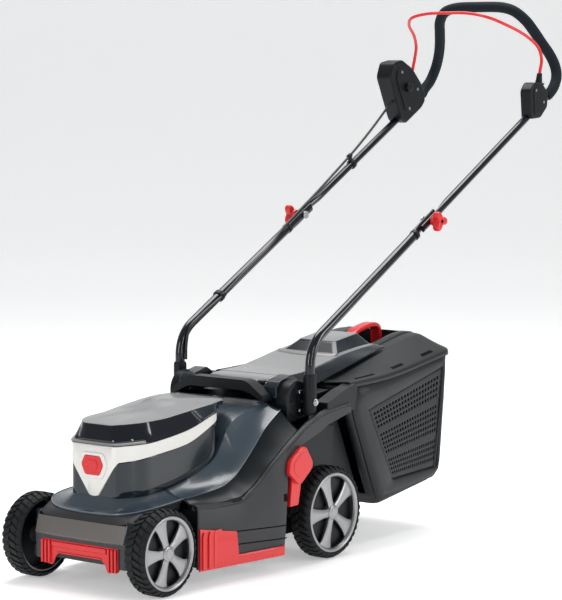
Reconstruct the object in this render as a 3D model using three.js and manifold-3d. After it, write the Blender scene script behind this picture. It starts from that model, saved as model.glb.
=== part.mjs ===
// Cordless rotary lawn mower with a grass box and a folding tubular handle.
// Millimetres, +Z up, the front faces -Y and +X is the operator's left-hand side (lever side).
// The pieces are laid out in an axle frame: y = 0 under the rear axle, z = 0 on the ground.
// The outer group moves that frame so that the origin is the middle of the footprint.
import * as THREE from 'three';
import { mergeVertices } from 'three/addons/utils/BufferGeometryUtils.js';
import Module from 'manifold-3d';

const wasm = await Module();
wasm.setup();

// ---------- driving dimensions ----------
const FRAME_Y = 163.6; // middle of the footprint, measured behind the rear axle
const GAP = 0.3; // clearance between touching pieces
const WALL = 3; // moulded wall thickness

const REAR_R = 85; // rear wheel radius
const FRONT_R = 75; // front wheel radius
const WHEEL_W = 44;
const REAR_X = 168; // middle of the rear wheels
const FRONT_X = 141.5; // middle of the front wheels
const FRONT_AXLE_Y = -437;
const WHEEL_SIDES = 24;
const STUB_R = 5;

const CRANK = { y: 27, z: 20 }; // from each crank pivot to its wheel axle
const REAR_PIVOT = { y: -CRANK.y, z: REAR_R - CRANK.z };
const FRONT_PIVOT = { y: FRONT_AXLE_Y - CRANK.y, z: FRONT_R - CRANK.z };
const PIN_UP = { y: -8, z: 46 }; // from each crank pivot to its link pin
const LINK_X = 92; // inner face of the height link
const REAR_WALL_X = 133; // outer face of the chassis between the rear wheels
const NOSE_X = 109; // outer face of the chassis between the front wheels

const BLADE_Y = -240; // blade axis
const CHAMBER_R = 152;
const BLADE_R = 147;
const PLATE_Z = 72; // underside of the chassis plate
const SKIRT_Z = 32;
const BUMPER_Y = -482;
const SKIRT_FRONT_Y = -351;
const ARCH_Y = -131; // front edge of the rear wheel arch
const FENDER_END_Y = 0;

const HANDLE_PIVOT = { y: -28, z: 289 };
const LOWER_X = 153;
const UPPER_X = 155;
const LOWER_R = 9;
const UPPER_R = 7.5;
const FOAM_R = 11;
const KNOB = { y: 354, z: 599 };
const TONGUE = 30; // length of the flattened end beyond the knob's axis
const BAIL_PIVOT = { y: 746, z: 850 };
const BAIL_R = 3.3;
const CABLE_R = 2;

const FLAP_PIVOT = { y: -50, z: 318 };

// ---------- materials ----------
const paint = (color, roughness, metalness = 0) =>
  new THREE.MeshStandardMaterial({ color, roughness, metalness });
const finish = {
  chassis: paint(0x4a4a4c, 0.55),
  nose: paint(0x6e6a66, 0.45),
  red: paint(0xd02a2a, 0.4),
  hood: paint(0x55626d, 0.3),
  cowl: paint(0x2c363e, 0.2),
  white: paint(0xe6e4df, 0.35),
  lid: paint(0x77777a, 0.35),
  visor: paint(0x0a0f16, 0.06),
  black: paint(0x15181b, 0.5),
  teal: paint(0x1f2e36, 0.25),
  box: paint(0x303336, 0.55),
  tyre: paint(0x1a1d20, 0.8),
  rim: paint(0xb5b5b7, 0.35, 0.6),
  steel: paint(0x9a9da0, 0.35, 0.9),
  tube: paint(0x12161d, 0.15, 0.3),
  foam: paint(0x1c262e, 0.95),
};

// ---------- solids ----------
function solid(geometry) {
  const bare = geometry.index ? geometry.toNonIndexed() : geometry;
  bare.deleteAttribute('normal');
  bare.deleteAttribute('uv');
  const merged = mergeVertices(bare, 1e-4);
  return new wasm.Manifold(new wasm.Mesh({
    numProp: 3,
    vertProperties: new Float32Array(merged.attributes.position.array),
    triVerts: new Uint32Array(merged.index.array),
  }));
}

function geometryOf(shape) {
  const mesh = shape.getMesh();
  const geometry = new THREE.BufferGeometry();
  geometry.setAttribute('position', new THREE.BufferAttribute(mesh.vertProperties, 3));
  geometry.setIndex(new THREE.BufferAttribute(mesh.triVerts, 1));
  return geometry;
}

const join = (first, ...rest) => rest.reduce((sum, next) => sum.add(next), first);
const cut = (first, ...rest) => rest.reduce((left, next) => left.subtract(next), first);

// A block between two corners.
function block(x0, x1, y0, y1, z0, z1) {
  const geometry = new THREE.BoxGeometry(x1 - x0, y1 - y0, z1 - z0);
  geometry.translate((x0 + x1) / 2, (y0 + y1) / 2, (z0 + z1) / 2);
  return solid(geometry);
}

// A round bar along X, between two x positions, on the axis (y, z).
function barX(radius, x0, x1, y, z, sides = 16) {
  const geometry = new THREE.CylinderGeometry(radius, radius, Math.abs(x1 - x0), sides);
  geometry.rotateZ(Math.PI / 2);
  geometry.translate((x0 + x1) / 2, y, z);
  return solid(geometry);
}

// A round bar along Z.
function barZ(radius, z0, z1, x, y, sides = 16) {
  const geometry = new THREE.CylinderGeometry(radius, radius, z1 - z0, sides);
  geometry.rotateX(Math.PI / 2);
  geometry.translate(x, y, (z0 + z1) / 2);
  return solid(geometry);
}

// An outline in the YZ plane, extruded along X.
function slab(outline, x0, x1) {
  const shape = new THREE.Shape(outline.map(([y, z]) => new THREE.Vector2(y, z)));
  const geometry = new THREE.ExtrudeGeometry(shape, { depth: x1 - x0, bevelEnabled: false });
  // Shape x becomes Y, shape y becomes Z and the depth becomes X.
  geometry.applyMatrix4(new THREE.Matrix4().set(
    0, 0, 1, x0,
    1, 0, 0, 0,
    0, 1, 0, 0,
    0, 0, 0, 1,
  ));
  return solid(geometry);
}

// An outline in the XZ plane, extruded along Y.
function panel(outline, y0, y1) {
  const shape = new THREE.Shape(outline.map(([x, z]) => new THREE.Vector2(x, z)));
  const geometry = new THREE.ExtrudeGeometry(shape, { depth: y1 - y0, bevelEnabled: false });
  geometry.rotateX(Math.PI / 2);
  geometry.translate(0, y1, 0);
  return solid(geometry);
}

// A closed skin through loops of points that all have the same count.
function loft(loops) {
  const count = loops[0].length;
  const flat = (loop) => loop.map((p) => new THREE.Vector2(p[0], loftUp(loops) ? p[1] : p[2]));
  const triangles = [];
  for (let k = 0; k + 1 < loops.length; k += 1) {
    for (let i = 0; i < count; i += 1) {
      const j = (i + 1) % count;
      triangles.push([loops[k][i], loops[k][j], loops[k + 1][j]]);
      triangles.push([loops[k][i], loops[k + 1][j], loops[k + 1][i]]);
    }
  }
  for (const [loop, side] of [[loops[0], -1], [loops[loops.length - 1], 1]]) {
    const outline = flat(loop);
    const turn = Math.sign(THREE.ShapeUtils.area(outline));
    for (const [a, b, c] of THREE.ShapeUtils.triangulateShape(outline, [])) {
      const area = THREE.ShapeUtils.area([outline[a], outline[b], outline[c]]);
      const ordered = Math.sign(area) * turn * side > 0 ? [a, b, c] : [a, c, b];
      triangles.push(ordered.map((index) => loop[index]));
    }
  }
  let volume = 0;
  for (const [a, b, c] of triangles) {
    volume += a[0] * (b[1] * c[2] - b[2] * c[1]) + a[1] * (b[2] * c[0] - b[0] * c[2])
      + a[2] * (b[0] * c[1] - b[1] * c[0]);
  }
  const facing = volume > 0 ? triangles : triangles.map(([a, b, c]) => [a, c, b]);
  const geometry = new THREE.BufferGeometry();
  geometry.setAttribute('position', new THREE.Float32BufferAttribute(facing.flat(2), 3));
  return solid(geometry);
}

// True when the loops are stacked along Z, false when they follow Y.
function loftUp(loops) {
  const [first, last] = [loops[0][0], loops[loops.length - 1][0]];
  return Math.abs(last[2] - first[2]) > Math.abs(last[1] - first[1]);
}

// A value that follows straight lines between [position, value] knots.
function along(knots) {
  return (at) => {
    const last = knots.length - 1;
    if (at <= knots[0][0]) return knots[0][1];
    if (at >= knots[last][0]) return knots[last][1];
    const k = knots.findIndex(([position]) => position > at) - 1;
    const t = (at - knots[k][0]) / (knots[k + 1][0] - knots[k][0]);
    return knots[k][1] + t * (knots[k + 1][1] - knots[k][1]);
  };
}

// An arch-shaped shell across the mower: half(y) gives [x, z] from the outer edge to the middle.
function archShell(stations, half, wall) {
  return loft(stations.map((y) => {
    const right = half(y);
    const outer = [...right.map(([x, z]) => [-x, z]), ...right.slice().reverse()];
    const inner = outer.slice().reverse().map(([x, z]) => {
      const inset = Math.sign(x) * Math.min(wall, Math.abs(x));
      return [x - inset, z - wall];
    });
    inner[0][1] += wall;
    inner[inner.length - 1][1] += wall;
    return [...outer, ...inner].map(([x, z]) => [x, y, z]);
  }));
}

// A round tube along straight legs joined by bends of one radius.
function bentPath(points, radius) {
  const path = new THREE.CurvePath();
  let from = points[0];
  for (let i = 1; i + 1 < points.length; i += 1) {
    const into = points[i].clone().sub(points[i - 1]).normalize();
    const out = points[i + 1].clone().sub(points[i]).normalize();
    const reach = radius * Math.tan(into.angleTo(out) / 2);
    const start = points[i].clone().addScaledVector(into, -reach);
    const end = points[i].clone().addScaledVector(out, reach);
    path.add(new THREE.LineCurve3(from, start));
    path.add(new THREE.QuadraticBezierCurve3(start, points[i], end));
    from = end;
  }
  path.add(new THREE.LineCurve3(from, points[points.length - 1]));
  return path;
}

function tube(path, radius, steps, sides = 12) {
  const circle = new THREE.Shape();
  circle.absarc(0, 0, radius, 0, Math.PI * 2);
  const geometry = new THREE.ExtrudeGeometry(circle, {
    extrudePath: path, steps, curveSegments: sides / 2, bevelEnabled: false,
  });
  return solid(geometry);
}

const at = (x, y, z) => new THREE.Vector3(x, y, z);
const smooth = (points) => new THREE.CatmullRomCurve3(points, false, 'centripetal');

// A lathe about the X axis: profile points are [x, r], closed by the caller on the axis or itself.
function wheelLathe(profile, sides) {
  const flats = 1 / Math.cos(Math.PI / sides);
  const points = profile.map(([x, r]) => new THREE.Vector2(r * flats, x));
  const geometry = new THREE.LatheGeometry(points, sides, Math.PI / sides);
  // The lathe's own axis Y becomes X, and a flat facet points down.
  geometry.rotateZ(-Math.PI / 2);
  return solid(geometry);
}

// ---------- scene graph ----------
const mower = new THREE.Group();
const axleFrame = new THREE.Group();
axleFrame.position.y = -FRAME_Y;
mower.add(axleFrame);

function add(name, shape, material, place = [0, 0, 0]) {
  const mesh = new THREE.Mesh(geometryOf(shape), material);
  mesh.name = name;
  mesh.position.set(...place);
  axleFrame.add(mesh);
  return mesh;
}

const mirrored = (shape) => shape.mirror([1, 0, 0]);
const sides = [['left', 1], ['right', -1]];
const onSide = (shape, side) => (side > 0 ? shape : mirrored(shape));

// ---------- body lines, from front to rear ----------
const skirtX = along([[-351, 152], [-300, 159], [-240, 167], [-190, 174], [-145, 179], [0, 174]]);
const beltZ = along([
  [-482, 122], [-440, 138], [-351, 144], [-300, 141], [-250, 142], [-220, 155],
  [-195, 172], [-169, 195], [-135, 219], [-105, 236], [-60, 258], [0, 274],
]);
const ridgeZ = along([
  [-465, 134], [-425, 145], [-361, 152], [-256, 161], [-223, 172],
  [-190, 196], [-164, 219], [-130, 251], [-86, 279],
]);
const ridgeX = along([[-465, 66], [-450, 98], [-425, 114], [-361, 118], [-330, 126], [-86, 129]]);
const baseX = along([[-465, 46], [-447, 54], [-425, 72], [-400, 83], [-300, 89], [-187, 89], [-86, 100]]);
const baseZ = along([
  [-465, 136], [-447, 158], [-390, 160], [-307, 174], [-250, 190],
  [-220, 206], [-198, 233], [-187, 262], [-150, 276], [-86, 292],
]);
const trimFoot = along([[-447, 220], [-420, 223], [-395, 227], [-300, 238], [-215, 269], [-190, 278]]);
const lidFoot = along([
  [-447, 249], [-420, 250.5], [-395, 251.5], [-300, 262.5], [-215, 285], [-190, 290.5],
]);
const archZ = along([
  [-139, SKIRT_Z], [-134, 91], [-131, 134], [-129, 195],
  [-111, 212], [-70, 224], [-28, 235], [0, 246],
]);

// ---------- chassis ----------
function fenderStrip() {
  const stations = [-351, -300, -240, -220, -195, -169, -145, -139, -134, -131, -129, -111, -105,
    -70, -60, -28, FENDER_END_Y];
  return loft(stations.map((y) => {
    const x = skirtX(y);
    const top = beltZ(y);
    return [
      [x, y, archZ(y)], [x, y, top - 6], [x - 6, y, top],
      [x - 10, y, top - WALL], [x - WALL, y, top - 12], [x - WALL, y, archZ(y)],
    ];
  }));
}

function chassisNose() {
  // The narrow box between the front wheels, open underneath.
  const deep = { front: BUMPER_Y + 1, back: SKIRT_FRONT_Y - GAP };
  const outer = loft([deep.front, -425, deep.back].map((y) => {
    const x = along([[-482, 101], [-425, NOSE_X], [-351, NOSE_X]])(y);
    const top = beltZ(y) - 4;
    return [[-x, y, 50], [-x, y, top - 8], [-x + 14, y, top],
      [x - 14, y, top], [x, y, top - 8], [x, y, 50]];
  }));
  const inner = block(-NOSE_X + 8, NOSE_X - 8, deep.front + WALL, deep.back + 1, 0, 112);
  const plateZ = PLATE_Z + 1 + GAP;
  const plate = block(-NOSE_X + 4, NOSE_X - 4, -396, deep.back, plateZ, plateZ + 3.5);
  const ringSpace = barZ(CHAMBER_R + 3.5 + GAP, 0, plateZ, 0, BLADE_Y, 36);
  const frontBore = barX(STUB_R + 0.5, -200, 200, FRONT_PIVOT.y, FRONT_PIVOT.z);
  return cut(join(cut(outer, inner), plate), ringSpace, frontBore);
}
add('deck_nose', chassisNose(), finish.chassis);

function deckShell() {
  // The plate's front corners are cut away behind the front wheels.
  const plan = (y) => (y === SKIRT_FRONT_Y ? 70 : skirtX(y) - 1);
  const plate = loft([SKIRT_FRONT_Y, SKIRT_FRONT_Y + 14, -240, ARCH_Y - 1].map((y) => [
    [-plan(y), y, PLATE_Z], [plan(y), y, PLATE_Z],
    [plan(y), y, PLATE_Z + 3.5], [-plan(y), y, PLATE_Z + 3.5],
  ]));
  const rearPlate = block(-132, 132, ARCH_Y - 2, -84, PLATE_Z, PLATE_Z + 3.5);
  const ring = barZ(CHAMBER_R + 3.5, SKIRT_Z + 3, PLATE_Z + 1, 0, BLADE_Y, 36);
  const parts = [plate, rearPlate, ring];
  for (const [, side] of sides) {
    const strip = fenderStrip();
    const frontWall = block(NOSE_X - 2, 151.5, SKIRT_FRONT_Y, SKIRT_FRONT_Y + WALL, SKIRT_Z + 3, 134);
    const archWall = block(REAR_WALL_X - WALL, 174, ARCH_Y - WALL, ARCH_Y, SKIRT_Z + 3, 196);
    const sideWall = slab([
      [ARCH_Y - 1, 50], [-44, 50], [-44, 46], [-16, 46], [-16, 50], [60, 96], [74, 232],
      [0, 240], [-60, 222], [ARCH_Y - 1, 200],
    ], REAR_WALL_X - WALL, REAR_WALL_X);
    const shelf = slab([
      [-129, 203], [-111, 218], [-60, 232], [0, 246], [0, 249], [-60, 236], [-111, 222], [-129, 207],
    ], REAR_WALL_X - WALL, 173);
    for (const shape of [strip, frontWall, archWall, sideWall, shelf]) {
      parts.push(onSide(shape, side));
    }
  }
  const chamber = barZ(CHAMBER_R, 0, PLATE_Z, 0, BLADE_Y, 36);
  const shaftHole = barZ(16, 0, 100, 0, BLADE_Y, 24);
  const outlet = block(-70, 70, -120, -60, SKIRT_Z + 12, PLATE_Z);
  const rearBore = barX(STUB_R + 0.5, -200, 200, REAR_PIVOT.y, REAR_PIVOT.z);
  return cut(join(...parts), chamber, shaftHole, outlet, rearBore);
}
add('deck_shell', deckShell(), finish.chassis);

// ---------- nose pieces ----------
add('front_bumper', slab([
  [BUMPER_Y, 122], [BUMPER_Y - 9, 90], [BUMPER_Y - 3, 88], [BUMPER_Y - 3, 46],
  [BUMPER_Y, 46], [BUMPER_Y + 0.6, 118],
], -100, 100).subtract(block(-84, 84, -500, -470, 40, 87)), finish.nose);

function frontComb() {
  const outline = [
    [-82, 80], [-82, 40], [-60, 37], [-56, 52], [-48, 58], [48, 58], [56, 52], [60, 37],
    [82, 40], [82, 80],
  ];
  const plate = panel(outline, BUMPER_Y - 3, BUMPER_Y + 0.5);
  const ribs = [-79, -71, 67, 75].map((x) => block(x, x + 4, BUMPER_Y - 7, BUMPER_Y - 2, 42, 78));
  return join(plate, ...ribs);
}
add('front_comb', frontComb(), finish.red);

function sideComb() {
  const flare = (y) => skirtX(y) + GAP + 0.2;
  const strip = loft([-350, -300, -240, -190, -145].map((y) => {
    const x = flare(y);
    return [[x, y, SKIRT_Z - 4], [x + 4, y, SKIRT_Z - 4], [x + 4, y, 46], [x, y, 46]];
  }));
  const guard = loft([-350, -300, -262].map((y) => {
    const x = flare(y);
    const top = along([[-350, 103], [-262, 88]])(y);
    return [[x, y, 45], [x + 4, y, 45], [x + 4, y, top], [x, y, top]];
  }));
  const ribs = [-342, -326].map((y) => {
    const x = flare(y);
    return block(x + 2, x + 10, y, y + 10, SKIRT_Z - 2, 92);
  });
  return join(strip, guard, ...ribs);
}
for (const [name, side] of sides) {
  add(`side_comb_${name}`, onSide(sideComb(), side), finish.red);
}

// ---------- hood, cowl and trim ----------
function hoodShell(stations) {
  const middleZ = along([[-478, 124], [-465, 134], [-447, 158], [-390, 160], [-307, 174],
    [-250, 190], [-220, 206], [-198, 233], [-187, 260], [-150, 262], [-120, 264], [-105, 292]]);
  const shell = archShell(stations, (y) => {
    const edge = y < SKIRT_FRONT_Y - 1 ? Math.min(116, ridgeX(y) + 20) : skirtX(y) - 10;
    const top = Math.max(beltZ(y) + GAP, 112);
    return [[edge, top - 2], [edge - 1, top + 1.5], [ridgeX(y) - 1, Math.max(ridgeZ(y), top + 3)],
      [baseX(y), Math.max(baseZ(y), top + 4)], [baseX(y) - 18, Math.max(middleZ(y), top + 4)]];
  }, WALL);
  const opening = loft([100, 280].map((z) => towerLoop(() => z, -WALL - 1)));
  return cut(shell, opening);
}

// The tower stands on the hood: its plan at a height curve, as a loop with cut corners.
function towerLoop(height, grow) {
  const spots = [
    [50, -447 - grow], [70 + grow, -420], [80 + grow, -395], [85 + grow, -300], [85 + grow, -215],
    [62, -190 + grow],
  ];
  const right = spots.map(([x, y]) => [x, y, height(y)]);
  const left = right.slice().reverse().map(([x, y, h]) => [-x, y, h]);
  return [...right, ...left];
}
add('hood_nose', hoodShell([-478, -465, -450, -437, -425, -407, -361, SKIRT_FRONT_Y - 1 - GAP]), finish.hood);
add('hood_cover', hoodShell([
  SKIRT_FRONT_Y - 1, -330, -300, -256, -239, -220, -205, -190, -164, -130, -105, -86,
]), finish.hood);

// The band of the tower's wall between two height curves.
function towerBand(low, high, grow) {
  const outer = loft([120, 320].map((z) => towerLoop(() => z, grow)));
  const inner = loft([110, 330].map((z) => towerLoop(() => z, grow - WALL)));
  const stations = [-470, -447, -420, -395, -390, -307, -300, -250, -220, -215, -198, -190, -187, -170];
  const band = loft(stations.map((y) => [
    [-130, y, low(y)], [130, y, low(y)], [130, y, high(y)], [-130, y, high(y)],
  ]));
  return cut(outer, inner).intersect(band);
}
add('motor_cowl', towerBand((y) => Math.max(baseZ(y), 136) + 5, trimFoot, 0), finish.cowl);
add('white_trim', towerBand((y) => trimFoot(y) + GAP, lidFoot, 0.5), finish.white);
add('badge', panel([[-20, 214], [20, 214], [26, 206], [20, 198], [-20, 198], [-26, 206]],
  -451.5, -447 - GAP - 0.6), finish.red);

// ---------- battery lid ----------
const lidEdge = along([
  [-449, 276], [-430, 284], [-342, 287], [-302, 291], [-230, 298], [-166, 302], [-150, 298],
]);
function lidShell() {
  const width = along([[-449, 50], [-420, 71], [-395, 81], [-300, 86], [-215, 86], [-190, 74], [-150, 62]]);
  const foot = (y) => Math.min(lidFoot(y) + GAP, 291);
  const ring = (y, inset, ceiling) => {
    const x = width(y) - inset;
    return [[-x, y, foot(y) - inset], [-x * 0.9, y, lidEdge(y) - ceiling],
      [0, y, lidEdge(y) + 5 - ceiling], [x * 0.9, y, lidEdge(y) - ceiling], [x, y, foot(y) - inset]];
  };
  const skin = loft([-449, -420, -395, -342, -300, -215, -190, -166, -150].map((y) => ring(y, 0, 0)));
  const hollow = loft([-443, -420, -395, -300, -215].map((y) => ring(y, 7, 5)));
  return cut(skin, hollow);
}
const lidWhole = lidShell();
const visorOutline = (gap) => [
  [-470, 200], [-470, 280 + gap], [-430, 282 + gap], [-342, 285 + gap], [-302, 289 + gap],
  [-271 + gap, 293 + gap], [-244 + gap, 264], [-240 + gap, 200],
];
add('lid_visor', lidWhole.intersect(slab(visorOutline(0), -130, 130)), finish.visor);
add('lid_cover', cut(lidWhole, slab(visorOutline(GAP), -131, 131)), finish.lid);

// ---------- inside the tower ----------
add('motor_can', cut(barZ(50, PLATE_Z + 3.5 + GAP, 164 - GAP, 0, BLADE_Y, 24),
  barZ(9, 0, 150, 0, BLADE_Y, 16)), finish.steel);
add('battery_bay', cut(block(-64, 64, -418, -258, 164, 215), block(-61, 61, -415, -261, 168, 230)),
  finish.black);
add('battery_pack', join(block(-58, 58, -412, -264, 168.4, 236), block(-44, 44, -400, -300, 235, 242)),
  finish.black);

// ---------- blade and its drive ----------
add('motor_shaft', join(barZ(6, 46, 146, 0, BLADE_Y), barZ(11, 51, 55, 0, BLADE_Y),
  barZ(12, 39, 46.6, 0, BLADE_Y, 6)), finish.steel);
function blade() {
  const bar = block(-BLADE_R + 2, BLADE_R - 2, -22, 22, 0, 3.5);
  const wing = slab([[10, 1], [22, 1], [30, 12], [28, 15], [20, 5], [10, 4]], 84, BLADE_R - 10);
  const both = join(bar, wing, wing.rotate([0, 0, 180]));
  return cut(both, barZ(6.2, -5, 10, 0, 0));
}
add('blade', blade(), finish.steel, [0, BLADE_Y, 47]);
function bladeFan() {
  const hub = barZ(22, 55.5, 59, 0, 0, 24);
  const vanes = [0, 1, 2, 3, 4, 5].map((k) =>
    block(14, 52, -1.5, 1.5, 55.5, 67).rotate([0, 0, k * 60]));
  return cut(join(hub, ...vanes), barZ(6.3, 40, 80, 0, 0));
}
add('blade_fan', bladeFan(), finish.black, [0, BLADE_Y, 0]);

// ---------- crank axles, lever and link ----------
function crankAxle(pivot, halfWidth, plateX, stubEnd, extra = []) {
  const axle = { y: pivot.y + CRANK.y, z: pivot.z + CRANK.z };
  const pin = { y: pivot.y + PIN_UP.y, z: pivot.z + PIN_UP.z };
  const bar = barX(STUB_R, -halfWidth, halfWidth, pivot.y, pivot.z);
  const linkArm = slab([[pivot.y - 9, pivot.z - 9], [pivot.y + 9, pivot.z - 9],
    [pin.y + 5, pin.z + 5], [pin.y - 5, pin.z + 5]], LINK_X - 6, LINK_X - 1);
  const linkPin = barX(3, LINK_X - 4, LINK_X + 5, pin.y, pin.z, 12);
  const parts = [bar, linkArm, linkPin];
  for (const [, side] of sides) {
    const plate = slab([[pivot.y - 9, pivot.z - 8], [pivot.y + 6, pivot.z - 10],
      [axle.y + 10, axle.z - 6], [axle.y + 8, axle.z + 9], [pivot.y - 8, pivot.z + 8]],
    plateX, halfWidth);
    const stub = barX(STUB_R, plateX + 1, stubEnd, axle.y, axle.z);
    parts.push(onSide(plate, side), onSide(stub, side));
  }
  return join(...parts, ...extra);
}
const leverEar = slab([[REAR_PIVOT.y - 8, REAR_PIVOT.z - 8], [REAR_PIVOT.y + 4, REAR_PIVOT.z + 8],
  [-98, 132], [-122, 132], [-122, 112]], REAR_WALL_X + 2, REAR_WALL_X + 8);
add('front_axle', crankAxle(FRONT_PIVOT, 117, NOSE_X + 2, FRONT_X + 14), finish.steel);
add('rear_axle', crankAxle(REAR_PIVOT, 141, REAR_WALL_X + 2, REAR_X + 14, [leverEar]), finish.steel);

function heightLever() {
  const foot = block(141 + GAP, 178, -122, -99, 112, 130);
  const arm = slab([[-124, 112], [-99, 112], [-88, 164], [-118, 164]], 172, 181);
  const paddle = slab([[-96, 219], [-86, 217], [-66, 187], [-68, 176], [-100, 152], [-109, 152],
    [-136, 174], [-133, 197]], 180, 189.5);
  return join(foot, arm, paddle);
}
add('height_lever', heightLever(), finish.red);

function heightLink() {
  const rear = { y: REAR_PIVOT.y + PIN_UP.y, z: REAR_PIVOT.z + PIN_UP.z };
  const front = { y: FRONT_PIVOT.y + PIN_UP.y, z: FRONT_PIVOT.z + PIN_UP.z };
  const strap = slab([[front.y, front.z - 4], [rear.y, rear.z - 4], [rear.y, rear.z + 4],
    [front.y, front.z + 4]], LINK_X, LINK_X + 4);
  const eyes = [front, rear].map((eye) => barX(5.6, LINK_X, LINK_X + 4, eye.y, eye.z));
  const holes = [front, rear].map((eye) => barX(3.6, 0, 200, eye.y, eye.z, 12));
  return cut(join(strap, ...eyes), ...holes);
}
add('height_link', heightLink(), finish.steel);

// ---------- wheels ----------
function tyre(radius) {
  const half = WHEEL_W / 2;
  const rim = radius * 0.88;
  return wheelLathe([
    [-half, rim], [-half, radius - 6], [-half + 6, radius], [half - 6, radius],
    [half, radius - 6], [half, rim], [half - 4, rim - 1], [-half + 4, rim - 1], [-half, rim],
  ], WHEEL_SIDES);
}
function rim(radius) {
  const half = WHEEL_W / 2;
  const seat = radius * 0.88 - 1 - GAP;
  const drum = wheelLathe([
    [-half + 4, seat - 3], [-half + 4, seat], [half - 3, seat], [half - 3, seat - 7],
    [half - 7, seat - 9], [half - 7, seat - 3], [-half + 4, seat - 3],
  ], WHEEL_SIDES);
  const hub = barX(15, -half + 2, half - 3, 0, 0, 20);
  const spokes = [0, 1, 2, 3, 4].map((k) => {
    const spoke = slab([[-7, 8], [-13, seat - 4], [13, seat - 4], [7, 8]], half - 10, half - 5);
    return spoke.rotate([k * 72, 0, 0]);
  });
  return cut(join(drum, hub, ...spokes), barX(STUB_R + 0.4, -half - 1, half - 7, 0, 0));
}
const axles = [
  ['front', FRONT_R, FRONT_X, FRONT_AXLE_Y], ['rear', REAR_R, REAR_X, 0],
];
for (const [end, radius, x, y] of axles) {
  for (const [name, side] of sides) {
    add(`tyre_${end}_${name}`, tyre(radius), finish.tyre, [side * x, y, radius]);
    add(`rim_${end}_${name}`, onSide(rim(radius), side), finish.rim, [side * x, y, radius]);
  }
}

// ---------- carry handle, handle brackets, rear frame ----------
function carryHandle() {
  const bridge = [
    [-104, 296.5], [-66, 312], [66, 312], [104, 296.5], [104, 304], [66, 329], [-66, 329], [-104, 304],
  ];
  return panel(bridge, -104, -80);
}
add('carry_handle', carryHandle(), finish.black);

function handleBracket() {
  const centre = { y: -42, z: 293 };
  const disc = barX(36, 113, 138, centre.y, centre.z, 28);
  const foot = slab([[-76, 252], [-10, 262], [-10, 290], [-76, 290]], 113, 138);
  const console = slab([[-78, 296], [-78, 318], [-68, 328], [-30, 336], [-12, 326], [-12, 296]],
    86, 114);
  const bolt = barX(4.3, 100, 145, HANDLE_PIVOT.y, HANDLE_PIVOT.z);
  const pinHole = barX(3.3, 80, 97, FLAP_PIVOT.y, FLAP_PIVOT.z);
  return cut(join(disc, foot, console), bolt, pinHole);
}
for (const [name, side] of sides) {
  add(`handle_bracket_${name}`, onSide(handleBracket(), side), finish.black);
}

function rearFrame() {
  const outer = slab([[-76, 122], [-76, 248], [-20, 292], [62, 300], [84, 252], [142, 122]],
    -129.5, 129.5);
  const tunnel = slab([[-90, 127], [-90, 238], [-16, 280], [140, 292], [170, 127]], -108, 108);
  const besideBrackets = block(112, 140, -90, 0, 246, 320);
  return cut(outer, tunnel, besideBrackets, mirrored(besideBrackets));
}
add('rear_frame', rearFrame(), finish.black);

// ---------- rear flap ----------
const flapTop = along([[-62, 315], [-25, 326], [55, 330], [109, 338], [177, 350], [270, 360], [288, 361]]);
const flapLow = along([[-4, 304], [62, 308], [103, 317], [236, 346], [288, 357]]);
function rearFlap() {
  const skin = archShell([-4, 55, 109, 177, 236, 286], (y) => [
    [98, flapLow(y) - 1], [97, flapLow(y) + 1], [76, flapTop(y)],
  ], WALL);
  const tongue = loft([-60, -25, 4].map((y) => [
    [-74, y, flapTop(y) - WALL], [-74, y, flapTop(y)], [74, y, flapTop(y)],
    [74, y, flapTop(y) - WALL],
  ]));
  const knuckles = [-60, 60].map((x) => barX(6, x - 8, x + 8, FLAP_PIVOT.y, FLAP_PIVOT.z));
  const raised = loft([
    [[-66, 171, 347], [66, 171, 347], [66, 285, 360], [-66, 285, 360]],
    [[-43, 200, 370], [43, 200, 370], [43, 276, 380], [-43, 276, 380]],
  ]);
  const pinHole = barX(3.3, -120, 120, FLAP_PIVOT.y, FLAP_PIVOT.z);
  return cut(join(skin, tongue, ...knuckles, raised), pinHole);
}
add('rear_flap', rearFlap(), finish.lid);
add('flap_pin', barX(3, -95, 95, FLAP_PIVOT.y, FLAP_PIVOT.z), finish.steel);

// ---------- grass box ----------
const boxLip = along([[90, 303], [182, 303], [398, 332], [424, 336]]); // where the lid meets the tub
function boxLoop(z, x, y0, y1, rise) {
  const c = 12;
  const rear = z + rise;
  return [
    [-x + c, y0, z], [x - c, y0, z], [x, y0 + c, z], [x, y1 - c, rear],
    [x - c, y1, rear], [-x + c, y1, rear], [-x, y1 - c, rear], [-x, y0 + c, z],
  ];
}
function boxTub() {
  const outer = loft([
    boxLoop(68, 146, 192, 376, 25), boxLoop(90, 153, 170, 394, 23),
    boxLoop(257, 157, 90, 413, 0), boxLoop(302, 160, 90, 417, 0), boxLoop(340, 160, 90, 417, 0),
  ]);
  const inner = loft([
    boxLoop(71, 143, 195, 373, 25), boxLoop(92, 150, 174, 391, 23),
    boxLoop(257, 154, 94, 410, 0), boxLoop(303, 157, 94, 414, 0), boxLoop(341, 157, 94, 414, 0),
  ]);
  const mouth = block(-122, 122, 60, 176, 112, 286);
  const aboveLip = slab([
    [80, boxLip(80) - 1], [182, boxLip(182) - 1], [398, boxLip(398) - 1], [430, boxLip(430) - 1],
    [430, 345], [80, 345],
  ], -170, 170);
  return cut(outer, inner, mouth, aboveLip);
}
add('grass_box_tub', boxTub(), finish.box);

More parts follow.
